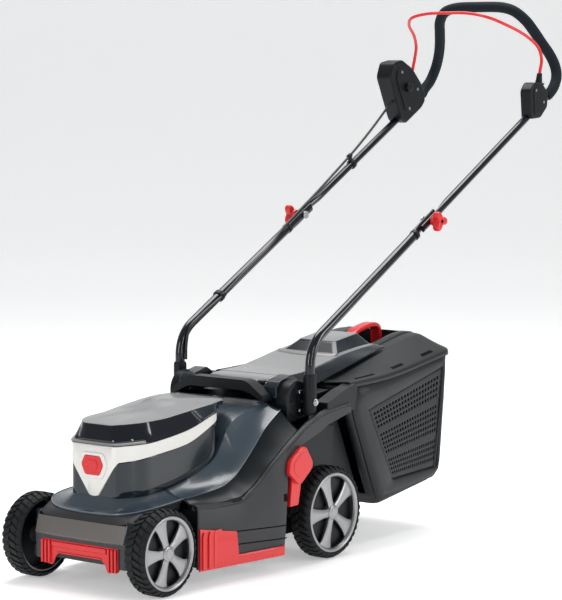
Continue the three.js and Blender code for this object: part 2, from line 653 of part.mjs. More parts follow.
const lidRidge = along([[88, 305], [117, 310], [212, 333], [305, 355], [412, 371], [424, 366]]);
function boxLid() {
  const cover = archShell([88, 117, 212, 288, 292, 340, 412, 424], (y) => {
    const inset = y > 412 ? 8 : 0;
    const ridge = Math.max(lidRidge(y), boxLip(y) + 6);
    const top = y < 290 ? ridge : lidRidge(y) + 3; // flat where the flap rests over it
    return [[162 - inset, boxLip(y)], [158 - inset, boxLip(y) + 4.5],
      [150 - inset, boxLip(y) + 5 + (ridge - boxLip(y) - 6) * 0.4], [96 - inset, ridge],
      [72, top]];
  }, WALL);
  const well = block(-51, 51, 302, 408, 338, 400);
  const wellFloor = slab([[299, 333], [411, 333], [411, 373], [299, 356.5]], -54, 54);
  const parts = [cut(cover, well), cut(wellFloor, well)];
  for (const [, direction] of sides) {
    parts.push(onSide(slab([
      [2, 250], [2, 285], [51, 302], [92, 310], [92, 303.5], [88, 303.5], [85, 264], [60, 264],
    ], 142, 171), direction));
  }
  return join(...parts);
}
add('grass_box_lid', boxLid(), finish.box);
add('box_handle', slab([
  [306, 338 + GAP], [306, 366], [318, 381], [366, 391], [386, 391], [398, 384], [404, 366],
  [404, 338 + GAP], [396, 338 + GAP], [394, 364], [384, 378], [366, 379], [322, 369], [316, 360],
  [316, 338 + GAP],
], -12, 12), finish.red);

// ---------- lower handle ----------
const slope = Math.atan2(797 - KNOB.z, 719 - KNOB.y);
const beyond = (distance) => [KNOB.y + distance * Math.cos(slope), KNOB.z + distance * Math.sin(slope)];
function lowerTube() {
  const bend = KNOB.z - (KNOB.y - HANDLE_PIVOT.y) * Math.tan(slope);
  const [endY, endZ] = beyond(14);
  const path = bentPath([at(LOWER_X, HANDLE_PIVOT.y, 296), at(LOWER_X, HANDLE_PIVOT.y, bend),
    at(LOWER_X, endY, endZ)], 60);
  const whole = tube(path, LOWER_R, 18, 12);
  const flat = block(-30, 30, -TONGUE, 40, -30, 30).rotate([(slope * 180) / Math.PI, 0, 0]);
  const outside = flat.translate([LOWER_X + 30, KNOB.y, KNOB.z]);
  return cut(whole, outside, barX(3.7, 100, 200, KNOB.y, KNOB.z));
}
function sleeve() {
  const shell = barZ(12.5, 266, 340, LOWER_X, HANDLE_PIVOT.y, 20);
  const socket = barZ(LOWER_R + GAP, 295.5, 345, LOWER_X, HANDLE_PIVOT.y, 24);
  return cut(shell, socket, barX(4.3, 100, 200, HANDLE_PIVOT.y, HANDLE_PIVOT.z));
}
const pivotBolt = join(barX(4, 118, 167, HANDLE_PIVOT.y, HANDLE_PIVOT.z),
  barX(7, 166, 171, HANDLE_PIVOT.y, HANDLE_PIVOT.z, 6));

// ---------- upper handle ----------
const tubeEnd = at(UPPER_X, 783, 832);
const gripSide = [
  tubeEnd, at(158, 799, 845), at(156, 816, 860), at(153, 826, 877), at(147, 829, 896),
  at(137, 823, 920), at(126, 810, 943), at(117, 796, 965), at(106, 780, 988), at(86, 768, 1007),
  at(60, 766, 1015),
];
const mirrorPoint = (p) => at(-p.x, p.y, p.z);
function upperPath() {
  const [startY, startZ] = beyond(-14);
  const right = [at(UPPER_X, startY, startZ), at(UPPER_X, 719, 797.5), ...gripSide];
  return smooth([...right, at(0, 766, 1017), ...right.map(mirrorPoint).reverse()]);
}
const upperAt = (radius) => tube(upperPath(), radius, 56, 10);
function upperTube() {
  const flat = block(-30, 30, -40, TONGUE, -30, 30).rotate([(slope * 180) / Math.PI, 0, 0]);
  const cuts = sides.map(([, side]) =>
    onSide(flat.translate([LOWER_X + GAP - 30, KNOB.y, KNOB.z]), side));
  return cut(upperAt(UPPER_R), ...cuts, barX(3.7, -200, 200, KNOB.y, KNOB.z));
}
function foamGrip() {
  const route = [...gripSide, at(0, 766, 1017), ...gripSide.map(mirrorPoint).reverse()];
  return cut(tube(smooth(route), FOAM_R, 28, 10), upperAt(UPPER_R + GAP));
}

// Star knob, its axis along X, with its face at x = 0.
function starKnob() {
  const outline = new THREE.Shape();
  const lobes = 3;
  const steps = lobes * 8;
  for (let k = 0; k < steps; k += 1) {
    const angle = (k / steps) * Math.PI * 2;
    const radius = 16.5 + 4.5 * Math.cos(lobes * angle);
    const point = [radius * Math.cos(angle), radius * Math.sin(angle)];
    if (k === 0) outline.moveTo(...point);
    else outline.lineTo(...point);
  }
  const geometry = new THREE.ExtrudeGeometry(outline, { depth: 13, bevelEnabled: false });
  geometry.rotateY(Math.PI / 2);
  geometry.translate(9, 0, 0);
  const boss = barX(9, 0, 10, 0, 0, 20);
  return cut(join(solid(geometry), boss), barX(3.5, -1, 16, 0, 0, 12));
}
const knobBolt = join(barX(3.2, LOWER_X - 10, 178, KNOB.y, KNOB.z, 12),
  barX(8, LOWER_X - 13, LOWER_X - 9.4, KNOB.y, KNOB.z, 16));

for (const [name, side] of sides) {
  add(`lower_tube_${name}`, onSide(lowerTube(), side), finish.tube);
  add(`handle_sleeve_${name}`, onSide(sleeve(), side), finish.black);
  add(`pivot_bolt_${name}`, onSide(pivotBolt, side), finish.steel);
  add(`knob_bolt_${name}`, onSide(knobBolt, side), finish.steel);
  add(`star_knob_${name}`, onSide(starKnob(), side), finish.red, [side * 163.2, KNOB.y, KNOB.z]);
}
add('upper_tube', upperTube(), finish.tube);
add('foam_grip', foamGrip(), finish.foam);

// ---------- switch boxes, bail and button ----------
const tubeChannel = upperAt(UPPER_R + GAP);
const bailSlot = (side) => onSide(slab([
  [732, 836], [741, 900], [830, 905], [790, 842], [760, 838],
], 151, 163), side);
const bailBore = barX(3.4, -200, 200, BAIL_PIVOT.y, BAIL_PIVOT.z);
function switchBox() {
  const hull = slab([
    [640, 872], [652, 902], [684, 908], [722, 890], [750, 868], [764, 850], [762, 816],
    [730, 784], [690, 780],
  ], -174, -134);
  return cut(hull, tubeChannel, bailSlot(-1), bailBore,
    barX(10.4, -146, -100, 700, 850, 20));
}
function bailBox() {
  const hull = slab([[698, 846], [712, 862], [742, 862], [766, 842], [764, 812], [738, 790], [704, 788]],
    143, 171);
  return cut(hull, tubeChannel, bailSlot(1), bailBore);
}
add('switch_box', switchBox(), finish.black);
add('bail_box', bailBox(), finish.black);

function bail() {
  const side = [
    at(157, 748, 858), at(157.5, 753, 884), at(157, 760, 908), at(151, 757, 932),
    at(138, 731, 956), at(117, 680, 980), at(92, 654, 994), at(50, 648, 1002),
  ];
  const route = [...side, at(0, 647, 1003), ...side.map(mirrorPoint).reverse()];
  const eyes = sides.map(([, direction]) =>
    onSide(barX(9, 153, 161, BAIL_PIVOT.y, BAIL_PIVOT.z), direction));
  return cut(join(tube(smooth(route), BAIL_R, 36, 8), ...eyes), bailBore);
}
add('bail', bail(), finish.red);
for (const [name, side] of sides) {
  add(`bail_pin_${name}`, onSide(barX(3, 146, 169, BAIL_PIVOT.y, BAIL_PIVOT.z), side), finish.steel);
}
add('lock_button', barX(10, -138, -124, 700, 850, 20), finish.black);

// ---------- cable and its clips ----------
function cableRoute() {
  return smooth([
    at(-152, 665, 818), at(-154, 600, 766), at(-155, 534, 719), at(-155, 478, 684),
    at(-153, 405, 641), at(-150, 335, 603), at(-149, 289, 576), at(-141, 233, 543),
    at(-140, 154, 499), at(-139, 81, 456), at(-139, 22, 427), at(-139.5, -16, 403),
    at(-140.5, -24, 376), at(-141, -25, 345),
  ]);
}
add('control_cable', tube(cableRoute(), CABLE_R, 44, 8), finish.black);
function cableClip() {
  const collar = barZ(UPPER_R + 3.5, -6, 6, 0, 0, 16).rotate([90, 0, 0]);
  const lug = block(-6, 6, -6, 6, 0, 24);
  const tilted = join(collar, lug).rotate([(slope * 180) / Math.PI, 0, 0]);
  const [y, z] = beyond(200);
  return cut(tilted.translate([-UPPER_X, y, z]), tubeChannel, tube(cableRoute(), CABLE_R + GAP, 44, 8));
}
add('cable_clip_upper', cableClip(), finish.black);

export default mower;
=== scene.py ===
"""Looks for the cordless rotary lawn mower with its grass box and folding handle.

Lengths are given in millimetres in the axle frame (y = 0 under the rear axle, z = 0 on the ground,
front towards -Y, +X the operator's left-hand side) and are turned into the row frame by place().
"""
import math

import bmesh
import bpy
from mathutils import Matrix, Vector


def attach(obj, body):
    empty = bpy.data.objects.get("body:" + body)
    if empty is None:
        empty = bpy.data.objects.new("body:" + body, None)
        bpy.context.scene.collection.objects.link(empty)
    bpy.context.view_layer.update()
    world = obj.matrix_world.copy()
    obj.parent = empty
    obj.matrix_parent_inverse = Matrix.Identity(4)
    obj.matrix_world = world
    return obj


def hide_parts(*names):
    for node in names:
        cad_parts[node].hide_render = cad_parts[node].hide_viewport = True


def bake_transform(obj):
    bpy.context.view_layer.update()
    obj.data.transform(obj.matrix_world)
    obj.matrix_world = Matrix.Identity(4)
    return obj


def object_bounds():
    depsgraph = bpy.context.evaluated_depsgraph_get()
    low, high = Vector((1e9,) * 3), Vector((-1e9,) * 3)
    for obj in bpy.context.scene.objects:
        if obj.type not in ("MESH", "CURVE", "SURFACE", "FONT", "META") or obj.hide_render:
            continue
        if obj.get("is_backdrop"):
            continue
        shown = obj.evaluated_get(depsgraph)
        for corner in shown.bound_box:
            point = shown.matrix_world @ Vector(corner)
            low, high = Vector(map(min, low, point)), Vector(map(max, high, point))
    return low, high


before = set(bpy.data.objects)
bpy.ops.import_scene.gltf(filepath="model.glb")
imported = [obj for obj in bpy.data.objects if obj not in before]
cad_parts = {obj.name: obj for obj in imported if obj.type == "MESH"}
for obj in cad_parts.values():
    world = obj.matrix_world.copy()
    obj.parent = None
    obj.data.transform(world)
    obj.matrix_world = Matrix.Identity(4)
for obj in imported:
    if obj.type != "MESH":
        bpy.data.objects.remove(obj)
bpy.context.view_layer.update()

FRAME_Y = 163.6  # middle of the footprint behind the rear axle
LOWER_X, UPPER_X = 153.0, 155.0
LOWER_R, UPPER_R, FOAM_R = 9.0, 7.5, 11.0
KNOB_Y, KNOB_Z = 354.0, 599.0
PIVOT_Y, PIVOT_Z = -28.0, 289.0
SLOPE = math.atan2(797 - KNOB_Z, 719 - KNOB_Y)
SIDES = (("left", 1), ("right", -1))


def place(p):
    return (p[0] / 1000, (p[1] - FRAME_Y) / 1000, p[2] / 1000)


# ---------- curves ----------
def turn(n):
    """The angles of n equal steps round a circle."""
    return [2 * math.pi * k / n for k in range(n)]


def curve(knots):
    """A smooth value through [position, value] knots that never overshoots them."""
    xs = [k[0] for k in knots]
    vs = [k[1] for k in knots]
    h = [b - a for a, b in zip(xs, xs[1:])]
    d = [(vs[i + 1] - vs[i]) / h[i] for i in range(len(h))]
    m = [d[0]]
    for i in range(1, len(d)):
        m.append(0.0 if d[i - 1] * d[i] <= 0 else 2 * d[i - 1] * d[i] / (d[i - 1] + d[i]))
    m.append(d[-1])

    def value(x):
        if x <= xs[0]:
            return vs[0]
        if x >= xs[-1]:
            return vs[-1]
        i = max(k for k in range(len(h)) if xs[k] <= x)
        t = (x - xs[i]) / h[i]
        return ((1 + 2 * t) * (1 - t) ** 2 * vs[i] + t * (1 - t) ** 2 * h[i] * m[i]
                + t * t * (3 - 2 * t) * vs[i + 1] + t * t * (t - 1) * h[i] * m[i + 1])
    return value


def line(knots):
    def value(x):
        for (xa, va), (xb, vb) in zip(knots, knots[1:]):
            if x <= xb:
                return va + (vb - va) * max(0.0, (x - xa) / (xb - xa))
        return knots[-1][1]
    return value


def steps(low, high, count):
    return [low + (high - low) * i / count for i in range(count + 1)]


def rounded(points, radius, n=4, closed=False):
    """The corners of a 2-D or 3-D polyline, each turned into n + 1 points."""
    vs = [Vector(p) for p in points]
    count = len(vs)
    out = []
    for i, v in enumerate(vs):
        if not closed and i in (0, count - 1):
            out.append(v)
            continue
        r = radius[i] if isinstance(radius, (list, tuple)) else radius
        a, b = vs[i - 1] - v, vs[(i + 1) % count] - v
        start = v + a * min(0.46, r / max(a.length, 1e-6))
        end = v + b * min(0.46, r / max(b.length, 1e-6))
        for k in range(n + 1):
            t = k / n
            out.append(start * (1 - t) ** 2 + v * (2 * t * (1 - t)) + end * t * t)
    return [tuple(p) for p in out]


def round_loop(points, radius, n=4):
    """A closed outline with rounded corners."""
    return rounded(points, radius, n, closed=True)


def through(points, n=8):
    """A smooth 3-D path through points."""
    vs = [Vector(p) for p in points]
    vs = [vs[0] * 2 - vs[1]] + vs + [vs[-1] * 2 - vs[-2]]
    out = []
    for i in range(1, len(vs) - 2):
        p0, p1, p2, p3 = vs[i - 1:i + 3]
        t1 = (p1 - p0).length ** 0.5
        t2 = t1 + (p2 - p1).length ** 0.5
        t3 = t2 + (p3 - p2).length ** 0.5
        for k in range(n):
            t = t1 + (t2 - t1) * k / n
            a1 = p0 * ((t1 - t) / t1) + p1 * (t / t1)
            a2 = p1 * ((t2 - t) / (t2 - t1)) + p2 * ((t - t1) / (t2 - t1))
            a3 = p2 * ((t3 - t) / (t3 - t2)) + p3 * ((t - t2) / (t3 - t2))
            b1 = a1 * ((t2 - t) / t2) + a2 * (t / t2)
            b2 = a2 * ((t3 - t) / (t3 - t1)) + a3 * ((t - t1) / (t3 - t1))
            out.append(b1 * ((t2 - t) / (t2 - t1)) + b2 * ((t - t1) / (t2 - t1)))
    out.append(vs[-2])
    return [tuple(p) for p in out]


# ---------- materials: real-scale procedural grain ----------
def material(name, color, rough, metal=0.0, grain=900.0, depth=0.04, coat=0.0, spread=0.08,
             streaks=None, worn=0.06, gloss=0.5):
    mat = bpy.data.materials.new(name)
    mat.use_nodes = True
    nodes, links = mat.node_tree.nodes, mat.node_tree.links
    shader = nodes["Principled BSDF"]
    shader.inputs["Metallic"].default_value = metal
    shader.inputs["Coat Weight"].default_value = coat
    shader.inputs["Coat Roughness"].default_value = 0.05
    shader.inputs["Specular IOR Level"].default_value = gloss
    where = nodes.new("ShaderNodeTexCoord")
    fine = nodes.new("ShaderNodeTexNoise")
    fine.inputs["Scale"].default_value = grain
    fine.inputs["Detail"].default_value = 3.0
    source = where.outputs["Object"]
    if streaks:
        stretch = nodes.new("ShaderNodeMapping")
        stretch.inputs["Scale"].default_value = streaks
        links.new(source, stretch.inputs["Vector"])
        source = stretch.outputs["Vector"]
    links.new(source, fine.inputs["Vector"])
    bump = nodes.new("ShaderNodeBump")
    bump.inputs["Strength"].default_value = depth
    bump.inputs["Distance"].default_value = 0.0004
    links.new(fine.outputs["Fac"], bump.inputs["Height"])
    links.new(bump.outputs["Normal"], shader.inputs["Normal"])
    broad = nodes.new("ShaderNodeTexNoise")
    broad.inputs["Scale"].default_value = 14.0
    broad.inputs["Detail"].default_value = 4.0
    links.new(where.outputs["Object"], broad.inputs["Vector"])
    vary = nodes.new("ShaderNodeMapRange")
    vary.inputs["To Min"].default_value = max(0.02, rough - spread)
    vary.inputs["To Max"].default_value = rough + spread
    links.new(broad.outputs["Fac"], vary.inputs["Value"])
    links.new(vary.outputs["Result"], shader.inputs["Roughness"])
    tone = nodes.new("ShaderNodeMix")
    tone.data_type = "RGBA"
    tone.inputs["A"].default_value = (*[c * (1 - worn) for c in color], 1)
    tone.inputs["B"].default_value = (*[min(1.0, c * (1 + worn)) for c in color], 1)
    links.new(fine.outputs["Fac"], tone.inputs["Factor"])
    links.new(tone.outputs["Result"], shader.inputs["Base Color"])
    return mat


look = {
    "chassis_plastic": material("chassis grain", (0.026, 0.027, 0.029), 0.42, grain=1500, depth=0.16,
                                gloss=0.28),
    "nose_plastic": material("nose satin", (0.11, 0.1, 0.092), 0.34, grain=1500, depth=0.08,
                             streaks=(0.05, 1, 1)),
    "red_plastic": material("red moulding", (0.6, 0.016, 0.018), 0.3, depth=0.05, coat=0.1, gloss=0.4),
    "hood_paint": material("hood satin", (0.036, 0.052, 0.068), 0.27, grain=2200, depth=0.03, coat=0.2,
                           spread=0.02),
    "cowl_gloss": material("cowl gloss", (0.006, 0.011, 0.016), 0.22, grain=2200, depth=0.02, coat=0.25,
                           gloss=0.4),
    "white_plastic": material("off-white moulding", (0.7, 0.69, 0.66), 0.32, depth=0.04, coat=0.1),
    "lid_satin": material("light grey satin", (0.21, 0.21, 0.213), 0.3, grain=2400, depth=0.06, coat=0.1),
    "visor_gloss": material("smoked gloss", (0.001, 0.002, 0.006), 0.06, depth=0.0, coat=0.25, spread=0.03,
                            gloss=0.45),
    "black_plastic": material("black moulding", (0.004, 0.005, 0.007), 0.4, grain=1500, depth=0.12,
                              gloss=0.22),
    "box_plastic": material("box grain", (0.012, 0.014, 0.016), 0.4, grain=1300, depth=0.18, gloss=0.25),
    "tyre_rubber": material("tyre rubber", (0.007, 0.008, 0.009), 0.6, grain=700, depth=0.3, gloss=0.25),
    "rim_silver": material("brushed silver", (0.3, 0.3, 0.31), 0.34, metal=0.85, grain=260, depth=0.05,
                           streaks=(1, 6, 1)),
    "steel": material("zinc steel", (0.5, 0.5, 0.52), 0.28, metal=1.0, grain=500, depth=0.05),
    "tube_paint": material("gloss powder coat", (0.002, 0.003, 0.008), 0.16, grain=1800, depth=0.05, coat=0.3,
                           gloss=0.4),
    "foam": material("closed-cell foam", (0.006, 0.01, 0.015), 0.75, grain=1100, depth=0.5, gloss=0.2),
    "cable_sheath": material("cable sheath", (0.006, 0.006, 0.008), 0.4, depth=0.08),
}
dark_slit = material("shadowed slot", (0.002, 0.002, 0.003), 0.8, gloss=0.1)
teal = material("dark blue-grey gloss", (0.007, 0.013, 0.018), 0.24, grain=2200, depth=0.03, coat=0.12,
                gloss=0.4)
# Near-black for the hood's band below the ridge and the flap windows; on the deck shell the same colour is
# painted shade.
under_band = material("dark underside band", (0.004, 0.006, 0.008), 0.34, grain=2000, depth=0.06, gloss=0.22)
# Painted highlight: a light blue-grey on the hood's ridge lip stands for the sheen along that edge.
painted_ridge_highlight = material("painted ridge highlight", (0.13, 0.16, 0.185), 0.22, coat=0.3)
side_dark = material("box side face", (0.008, 0.009, 0.011), 0.36, grain=1300, depth=0.15, gloss=0.25)


# ---------- mesh building ----------
def piece(name, verts, faces, slot, body, stands_for=(), mats=None, which=None, smooth=38,
          bevel=0.0, segments=2, thick=0.0, side=-1.0, levels=0):
    name = name.replace(" ", "_")
    mesh = bpy.data.meshes.new(name)
    mesh.from_pydata([place(v) for v in verts], [], faces)
    for mat in mats or [look[slot]]:
        mesh.materials.append(mat)
    if which:
        for polygon, index in zip(mesh.polygons, which):
            polygon.material_index = index
    shape = bmesh.new()
    shape.from_mesh(mesh)
    bmesh.ops.remove_doubles(shape, verts=shape.verts, dist=1e-6)
    bmesh.ops.recalc_face_normals(shape, faces=shape.faces)
    shape.to_mesh(mesh)
    shape.free()
    mesh.shade_smooth()
    mesh.set_sharp_from_angle(angle=math.radians(smooth))
    obj = bpy.data.objects.new(name, mesh)
    bpy.context.scene.collection.objects.link(obj)
    if thick:
        wall = obj.modifiers.new("wall", "SOLIDIFY")
        wall.thickness = thick / 1000
        wall.offset = side
    if bevel:
        edge = obj.modifiers.new("edges", "BEVEL")
        edge.width = bevel / 1000
        edge.segments = segments
        edge.limit_method = "ANGLE"
        edge.angle_limit = math.radians(28)
        edge.use_clamp_overlap = True
    if levels:
        fine = obj.modifiers.new("fine", "SUBSURF")
        fine.levels = fine.render_levels = levels
    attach(obj, body)
    if stands_for:
        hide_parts(*stands_for)
    return obj


def merge(*shapes):
    verts, faces = [], []
    for v, f in shapes:
        base = len(verts)
        verts += list(v)
        faces += [tuple(i + base for i in face) for face in f]
    return verts, faces


def grid(rows, closed=False):
    count = len(rows[0])
    verts = [p for row in rows for p in row]
    faces = []
    for r in range(len(rows) - 1):
        for c in range(count if closed else count - 1):
            d = (c + 1) % count
            faces.append((r * count + c, r * count + d, (r + 1) * count + d, (r + 1) * count + c))
    return verts, faces


def capped(rows):
    """A closed body through loops."""
    verts, faces = grid(rows, closed=True)
    count, last = len(rows[0]), len(verts)
    faces.append(tuple(range(count)))
    faces.append(tuple(range(last - count, last)))
    return verts, faces


def prism_x(outline, x0, x1):
    return capped([[(x, y, z) for y, z in outline] for x in (x0, x1)])


def prism_y(outline, y0, y1):
    return capped([[(x, y, z) for x, z in outline] for y in (y0, y1)])


def block(x0, x1, y0, y1, z0, z1):
    return prism_x([(y0, z0), (y1, z0), (y1, z1), (y0, z1)], x0, x1)


def mirror(shape):
    return [(-x, y, z) for x, y, z in shape[0]], shape[1]


def on_side(shape, direction):
    return shape if direction > 0 else mirror(shape)


def bar_x(radius, x0, x1, y, z, n=32, dome=0.0):
    loops = []
    for x, r in ((x0, radius), (x1, radius)) if not dome else (
            (x0, radius), (x1 - dome, radius), (x1, radius - abs(dome))):
        loops.append([(x, y + r * math.cos(a), z + r * math.sin(a))
                      for a in turn(n)])
    return capped(loops)


def sweep(points, radius, n=20, shape=None):
    """A round bar along a path; shape(i) may give (scale across, shift across) in x."""
    vs = [Vector(p) for p in points]
    rows = []
    up = Vector((1, 0, 0))
    for i, v in enumerate(vs):
        ahead = (vs[min(i + 1, len(vs) - 1)] - vs[max(i - 1, 0)]).normalized()
        up = (up - ahead * up.dot(ahead)).normalized()
        across = ahead.cross(up)
        scale, shift = shape(i) if shape else (1.0, 0.0)
        r = radius(i) if callable(radius) else radius
        rows.append([tuple(v + up * (math.cos(a) * r * scale + shift) + across * math.sin(a) * r)
                     for a in turn(n)])
    return capped(rows)


def lathe_x(profile, x, y, z, n=64):
    """A closed ring or body about the x axis; profile points are (x, radius)."""
    rows = [[(x + px, y + r * math.cos(a), z + r * math.sin(a)) for px, r in profile]
            for a in turn(n)]
    verts = [p for row in rows for p in row]
    count = len(profile)
    faces = []
    for r in range(n):
        q = (r + 1) % n
        for c in range(count):
            d = (c + 1) % count
            faces.append((r * count + c, r * count + d, q * count + d, q * count + c))
    return verts, faces


def turned(shape, angle, y, z):
    """A shape turned about the x axis through (y, z)."""
    c, s = math.cos(angle), math.sin(angle)
    return [(px, y + (py - y) * c - (pz - z) * s, z + (py - y) * s + (pz - z) * c)
            for px, py, pz in shape[0]], shape[1]


def finish_cad(names, slot, width=0.8, segments=2, mat=None):
    """A CAD piece that is shown as it is, with rounded edges and its finish."""
    for name in names:
        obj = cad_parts[name]
        obj.data.materials.clear()
        obj.data.materials.append(mat or look[slot])
        edge = obj.modifiers.new("edges", "BEVEL")
        edge.width = width / 1000
        edge.segments = segments
        edge.limit_method = "ANGLE"
        edge.angle_limit = math.radians(32)


# ---------- body lines ----------
skirt_x = curve([(-351, 152), (-300, 159), (-240, 167), (-190, 174), (-145, 179), (0, 174)])
belt_z = curve([(-482, 122), (-440, 138), (-351, 144), (-300, 141), (-250, 142), (-220, 155),
                (-195, 172), (-169, 195), (-135, 219), (-105, 236), (-60, 258), (0, 274), (70, 281)])
ridge_z = curve([(-478, 128), (-465, 134), (-425, 145), (-361, 152), (-256, 161), (-223, 172),
                 (-190, 196), (-164, 219), (-130, 251), (-86, 279)])
ridge_x = curve([(-478, 60), (-465, 66), (-450, 96), (-425, 112), (-361, 118), (-330, 126), (-86, 129)])
base_x = curve([(-478, 40), (-465, 46), (-447, 54), (-425, 72), (-400, 83), (-300, 89), (-187, 89),
                (-86, 100)])
base_z = curve([(-478, 128), (-465, 136), (-447, 156), (-390, 160), (-307, 174), (-250, 190),
                (-220, 206), (-198, 233), (-187, 252), (-150, 274), (-86, 291)])
trim_foot = curve([(-447, 220), (-420, 223), (-395, 227), (-300, 238), (-215, 269), (-190, 278)])
lid_foot = curve([(-447, 249), (-420, 250.5), (-395, 251.5), (-300, 262.5), (-215, 285), (-190, 290.5)])
lid_edge = curve([(-449, 279), (-430, 284), (-342, 287), (-302, 291), (-230, 298), (-166, 302),
                  (-150, 300)])
arch_z = line([(-141, 32), (-139, 34), (-134, 91), (-131, 134), (-129, 195), (-111, 212),
               (-70, 224), (-28, 235), (0, 246), (74, 262)])


# ---------- wheels ----------
def tyre(radius, x, y):
    """A carcass with two rows of slanted tread blocks and blocks on each shoulder."""
    half, rim = 22.0, radius * 0.88
    profile = round_loop([(-half, rim), (-half, radius - 8), (-16, radius - 3.2), (16, radius - 3.2),
                       (half, radius - 8), (half, rim), (half - 4, rim - 1), (-half + 4, rim - 1)],
                      2.2, 3)
    parts = [lathe_x(profile, x, y, radius, 96)]
    count = 38 if radius > 80 else 34
    pitch = 2 * math.pi / count

    def lug(x_in, x_out, start, width, slant, r0, r1_in, r1_out):
        corners = []
        for px, r1, lean in ((x_in, r1_in, 0.0), (x_out, r1_out, slant)):
            for r in (r0, r1):
                for a in (start + lean, start + lean + width):
                    corners.append((x + px, y + r * math.cos(a), radius + r * math.sin(a)))
        return corners, [(0, 1, 3, 2), (4, 6, 7, 5), (0, 4, 5, 1), (2, 3, 7, 6), (0, 2, 6, 4), (1, 5, 7, 3)]
    for k in range(count):
        a = k * pitch
        parts.append(lug(1.2, 14, a, pitch * 0.6, pitch * 0.45, radius - 5, radius, radius - 0.3))
        parts.append(lug(-1.2, -14, a + pitch / 2, pitch * 0.6, pitch * 0.45, radius - 5, radius,
                         radius - 0.3))
        parts.append(lug(14.8, 21.6, a + pitch * 0.55, pitch * 0.55, pitch * 0.1, radius - 7.4,
                         radius - 0.6, radius - 5.6))
        parts.append(lug(-14.8, -21.6, a + pitch * 0.05, pitch * 0.55, pitch * 0.1, radius - 7.4,
                         radius - 0.6, radius - 5.6))
    return merge(*parts)


def rim(radius, side, x, y):
    """Five flared spokes between a hub and a stepped ring, on the outer face."""
    seat = radius * 0.88 - 1.3
    ring = round_loop([(-18, seat - 3), (-18, seat), (20.5, seat), (21.5, seat - 2.5), (20, seat - 6),
                    (15, seat - 8.5), (14, seat - 3.4)], 1.0, 2)
    hub = round_loop([(-20, 6.5), (-20, 14), (12, 15.5), (19, 13.5), (20.2, 9), (20.2, 0.2), (-20, 0.2)],
                  1.4, 3)
    parts = [lathe_x(ring, 0, y, radius, 96), lathe_x(hub, 0, y, radius, 48)]
    reach = curve([(8, 7.5), (20, 7.4), (seat * 0.5, 9.4), (seat * 0.72, 13), (seat - 9, 19), (seat - 4, 27)])
    radii = steps(8, seat - 4, 18)
    for k in range(5):
        rows = []
        for r in radii:
            w = reach(r)
            crown = 17.6 - 2.6 * (r / seat) ** 2
            rows.append([(11.5, -w, r), (crown - 1.6, -w, r), (crown - 0.3, -w * 0.75, r),
                         (crown + 0.4, 0, r), (crown - 0.3, w * 0.75, r), (crown - 1.6, w, r),
                         (11.5, w, r)])
        verts, faces = capped(rows)
        spoke = [(px, y + py, radius + pz) for px, py, pz in verts], faces
        parts.append(turned(spoke, math.radians(72 * k + 90), y, radius))
    verts, faces = merge(*parts)
    return [(x + side * px, py, pz) for px, py, pz in verts], faces


for end, wheel_r, wheel_x, wheel_y in (("front", 75.0, 141.5, -437.0), ("rear", 85.0, 168.0, 0.0)):
    for name, side in SIDES:
        body = f"wheel_{end}_{name}"
        piece(f"tyre {end} {name}", *tyre(wheel_r, side * wheel_x, wheel_y), "tyre_rubber", body,
              [f"tyre_{end}_{name}"], smooth=25, bevel=0.7)
        piece(f"rim {end} {name}", *rim(wheel_r, side, side * wheel_x, wheel_y), "rim_silver", body,
              [f"rim_{end}_{name}"], smooth=30)
        cap = lathe_x(round_loop([(19.5, 9.5), (21, 8.6), (21.4, 0.2), (19.5, 0.2)], 0.5, 2),
                      0, wheel_y, wheel_r, 40)
        piece(f"hub cap {end} {name}", [(side * (wheel_x + px), py, pz) for px, py, pz in cap[0]],
              cap[1], "rim_silver", body)
        back = lathe_x([(6, 9), (6, wheel_r * 0.88 - 5), (7, wheel_r * 0.88 - 5), (7, 9)],
                       0, wheel_y, wheel_r, 64)
        piece(f"wheel web {end} {name}", [(side * (wheel_x + px), py, pz) for px, py, pz in back[0]],
              back[1], "black_plastic", body)


# ---------- hood ----------
def flare(inner, outer, count=7, sag=0.42):
    """Points from an inner to an outer edge, dipping below the straight line like a moulded flare."""
    out = []
    for t in steps(0, 1, count):
        dip = sag * math.sin(math.pi * t) * (inner[2] - outer[2]) * 0.55
        out.append((inner[0] + (outer[0] - inner[0]) * t, inner[1] + (outer[1] - inner[1]) * t,
                    inner[2] + (outer[2] - inner[2]) * t - dip))
    return out


def ridge_lip(x, y, z, dx=1.0, dy=0.0):
    """The raised line along the hood's outer edge; its faces carry a painted highlight."""
    return [(x, y, z + 0.8), (x + 1.4 * dx, y + 1.4 * dy, z + 0.6), (x + 2.2 * dx, y + 2.2 * dy, z - 0.6)]


HOOD_FRONT, HOOD_REAR = -352.0, -86.0
rows = []
for y in steps(HOOD_FRONT, HOOD_REAR, 60):
    top = max(belt_z(y), 112)
    edge = skirt_x(y) - 9
    foot = (base_x(y) - 3, y, max(base_z(y), top + 4))
    ridge = (ridge_x(y), y, max(ridge_z(y), top + 3))
    half = [(max(base_x(y) - 26, 40), y, foot[2] + 1.5)] + flare(foot, ridge) + ridge_lip(*ridge)
    side_top = half[-1]
    for t in (0.3, 0.6, 0.9):
        half.append((side_top[0] + (edge - side_top[0]) * t, y,
                     side_top[2] + (top + 0.5 - side_top[2]) * t - 2.5 * math.sin(math.pi * t)))
    half += [(edge, y, top + 0.4), (edge + 1, y, top - 3)]
    rows.append([(-x, py, z) for x, py, z in reversed(half)] + half)
verts, faces = grid(rows)
count = len(rows[0]) - 1
flat = len(half)
keep, kinds = [], []
for i, f in enumerate(faces):
    c = i % count
    from_middle = c - flat if c >= flat else flat - 2 - c
    mid = sum((Vector(verts[v]) for v in f), Vector()) / 4
    if from_middle < 0 and mid.y < -196:
        continue
    keep.append(f)
    # Faces 8 and 9 from the middle, on the ridge lip, get the painted highlight; faces from 10 on get the
    # dark band.
    kinds.append(1 if from_middle >= 10 else 2 if from_middle >= 8 else 0)
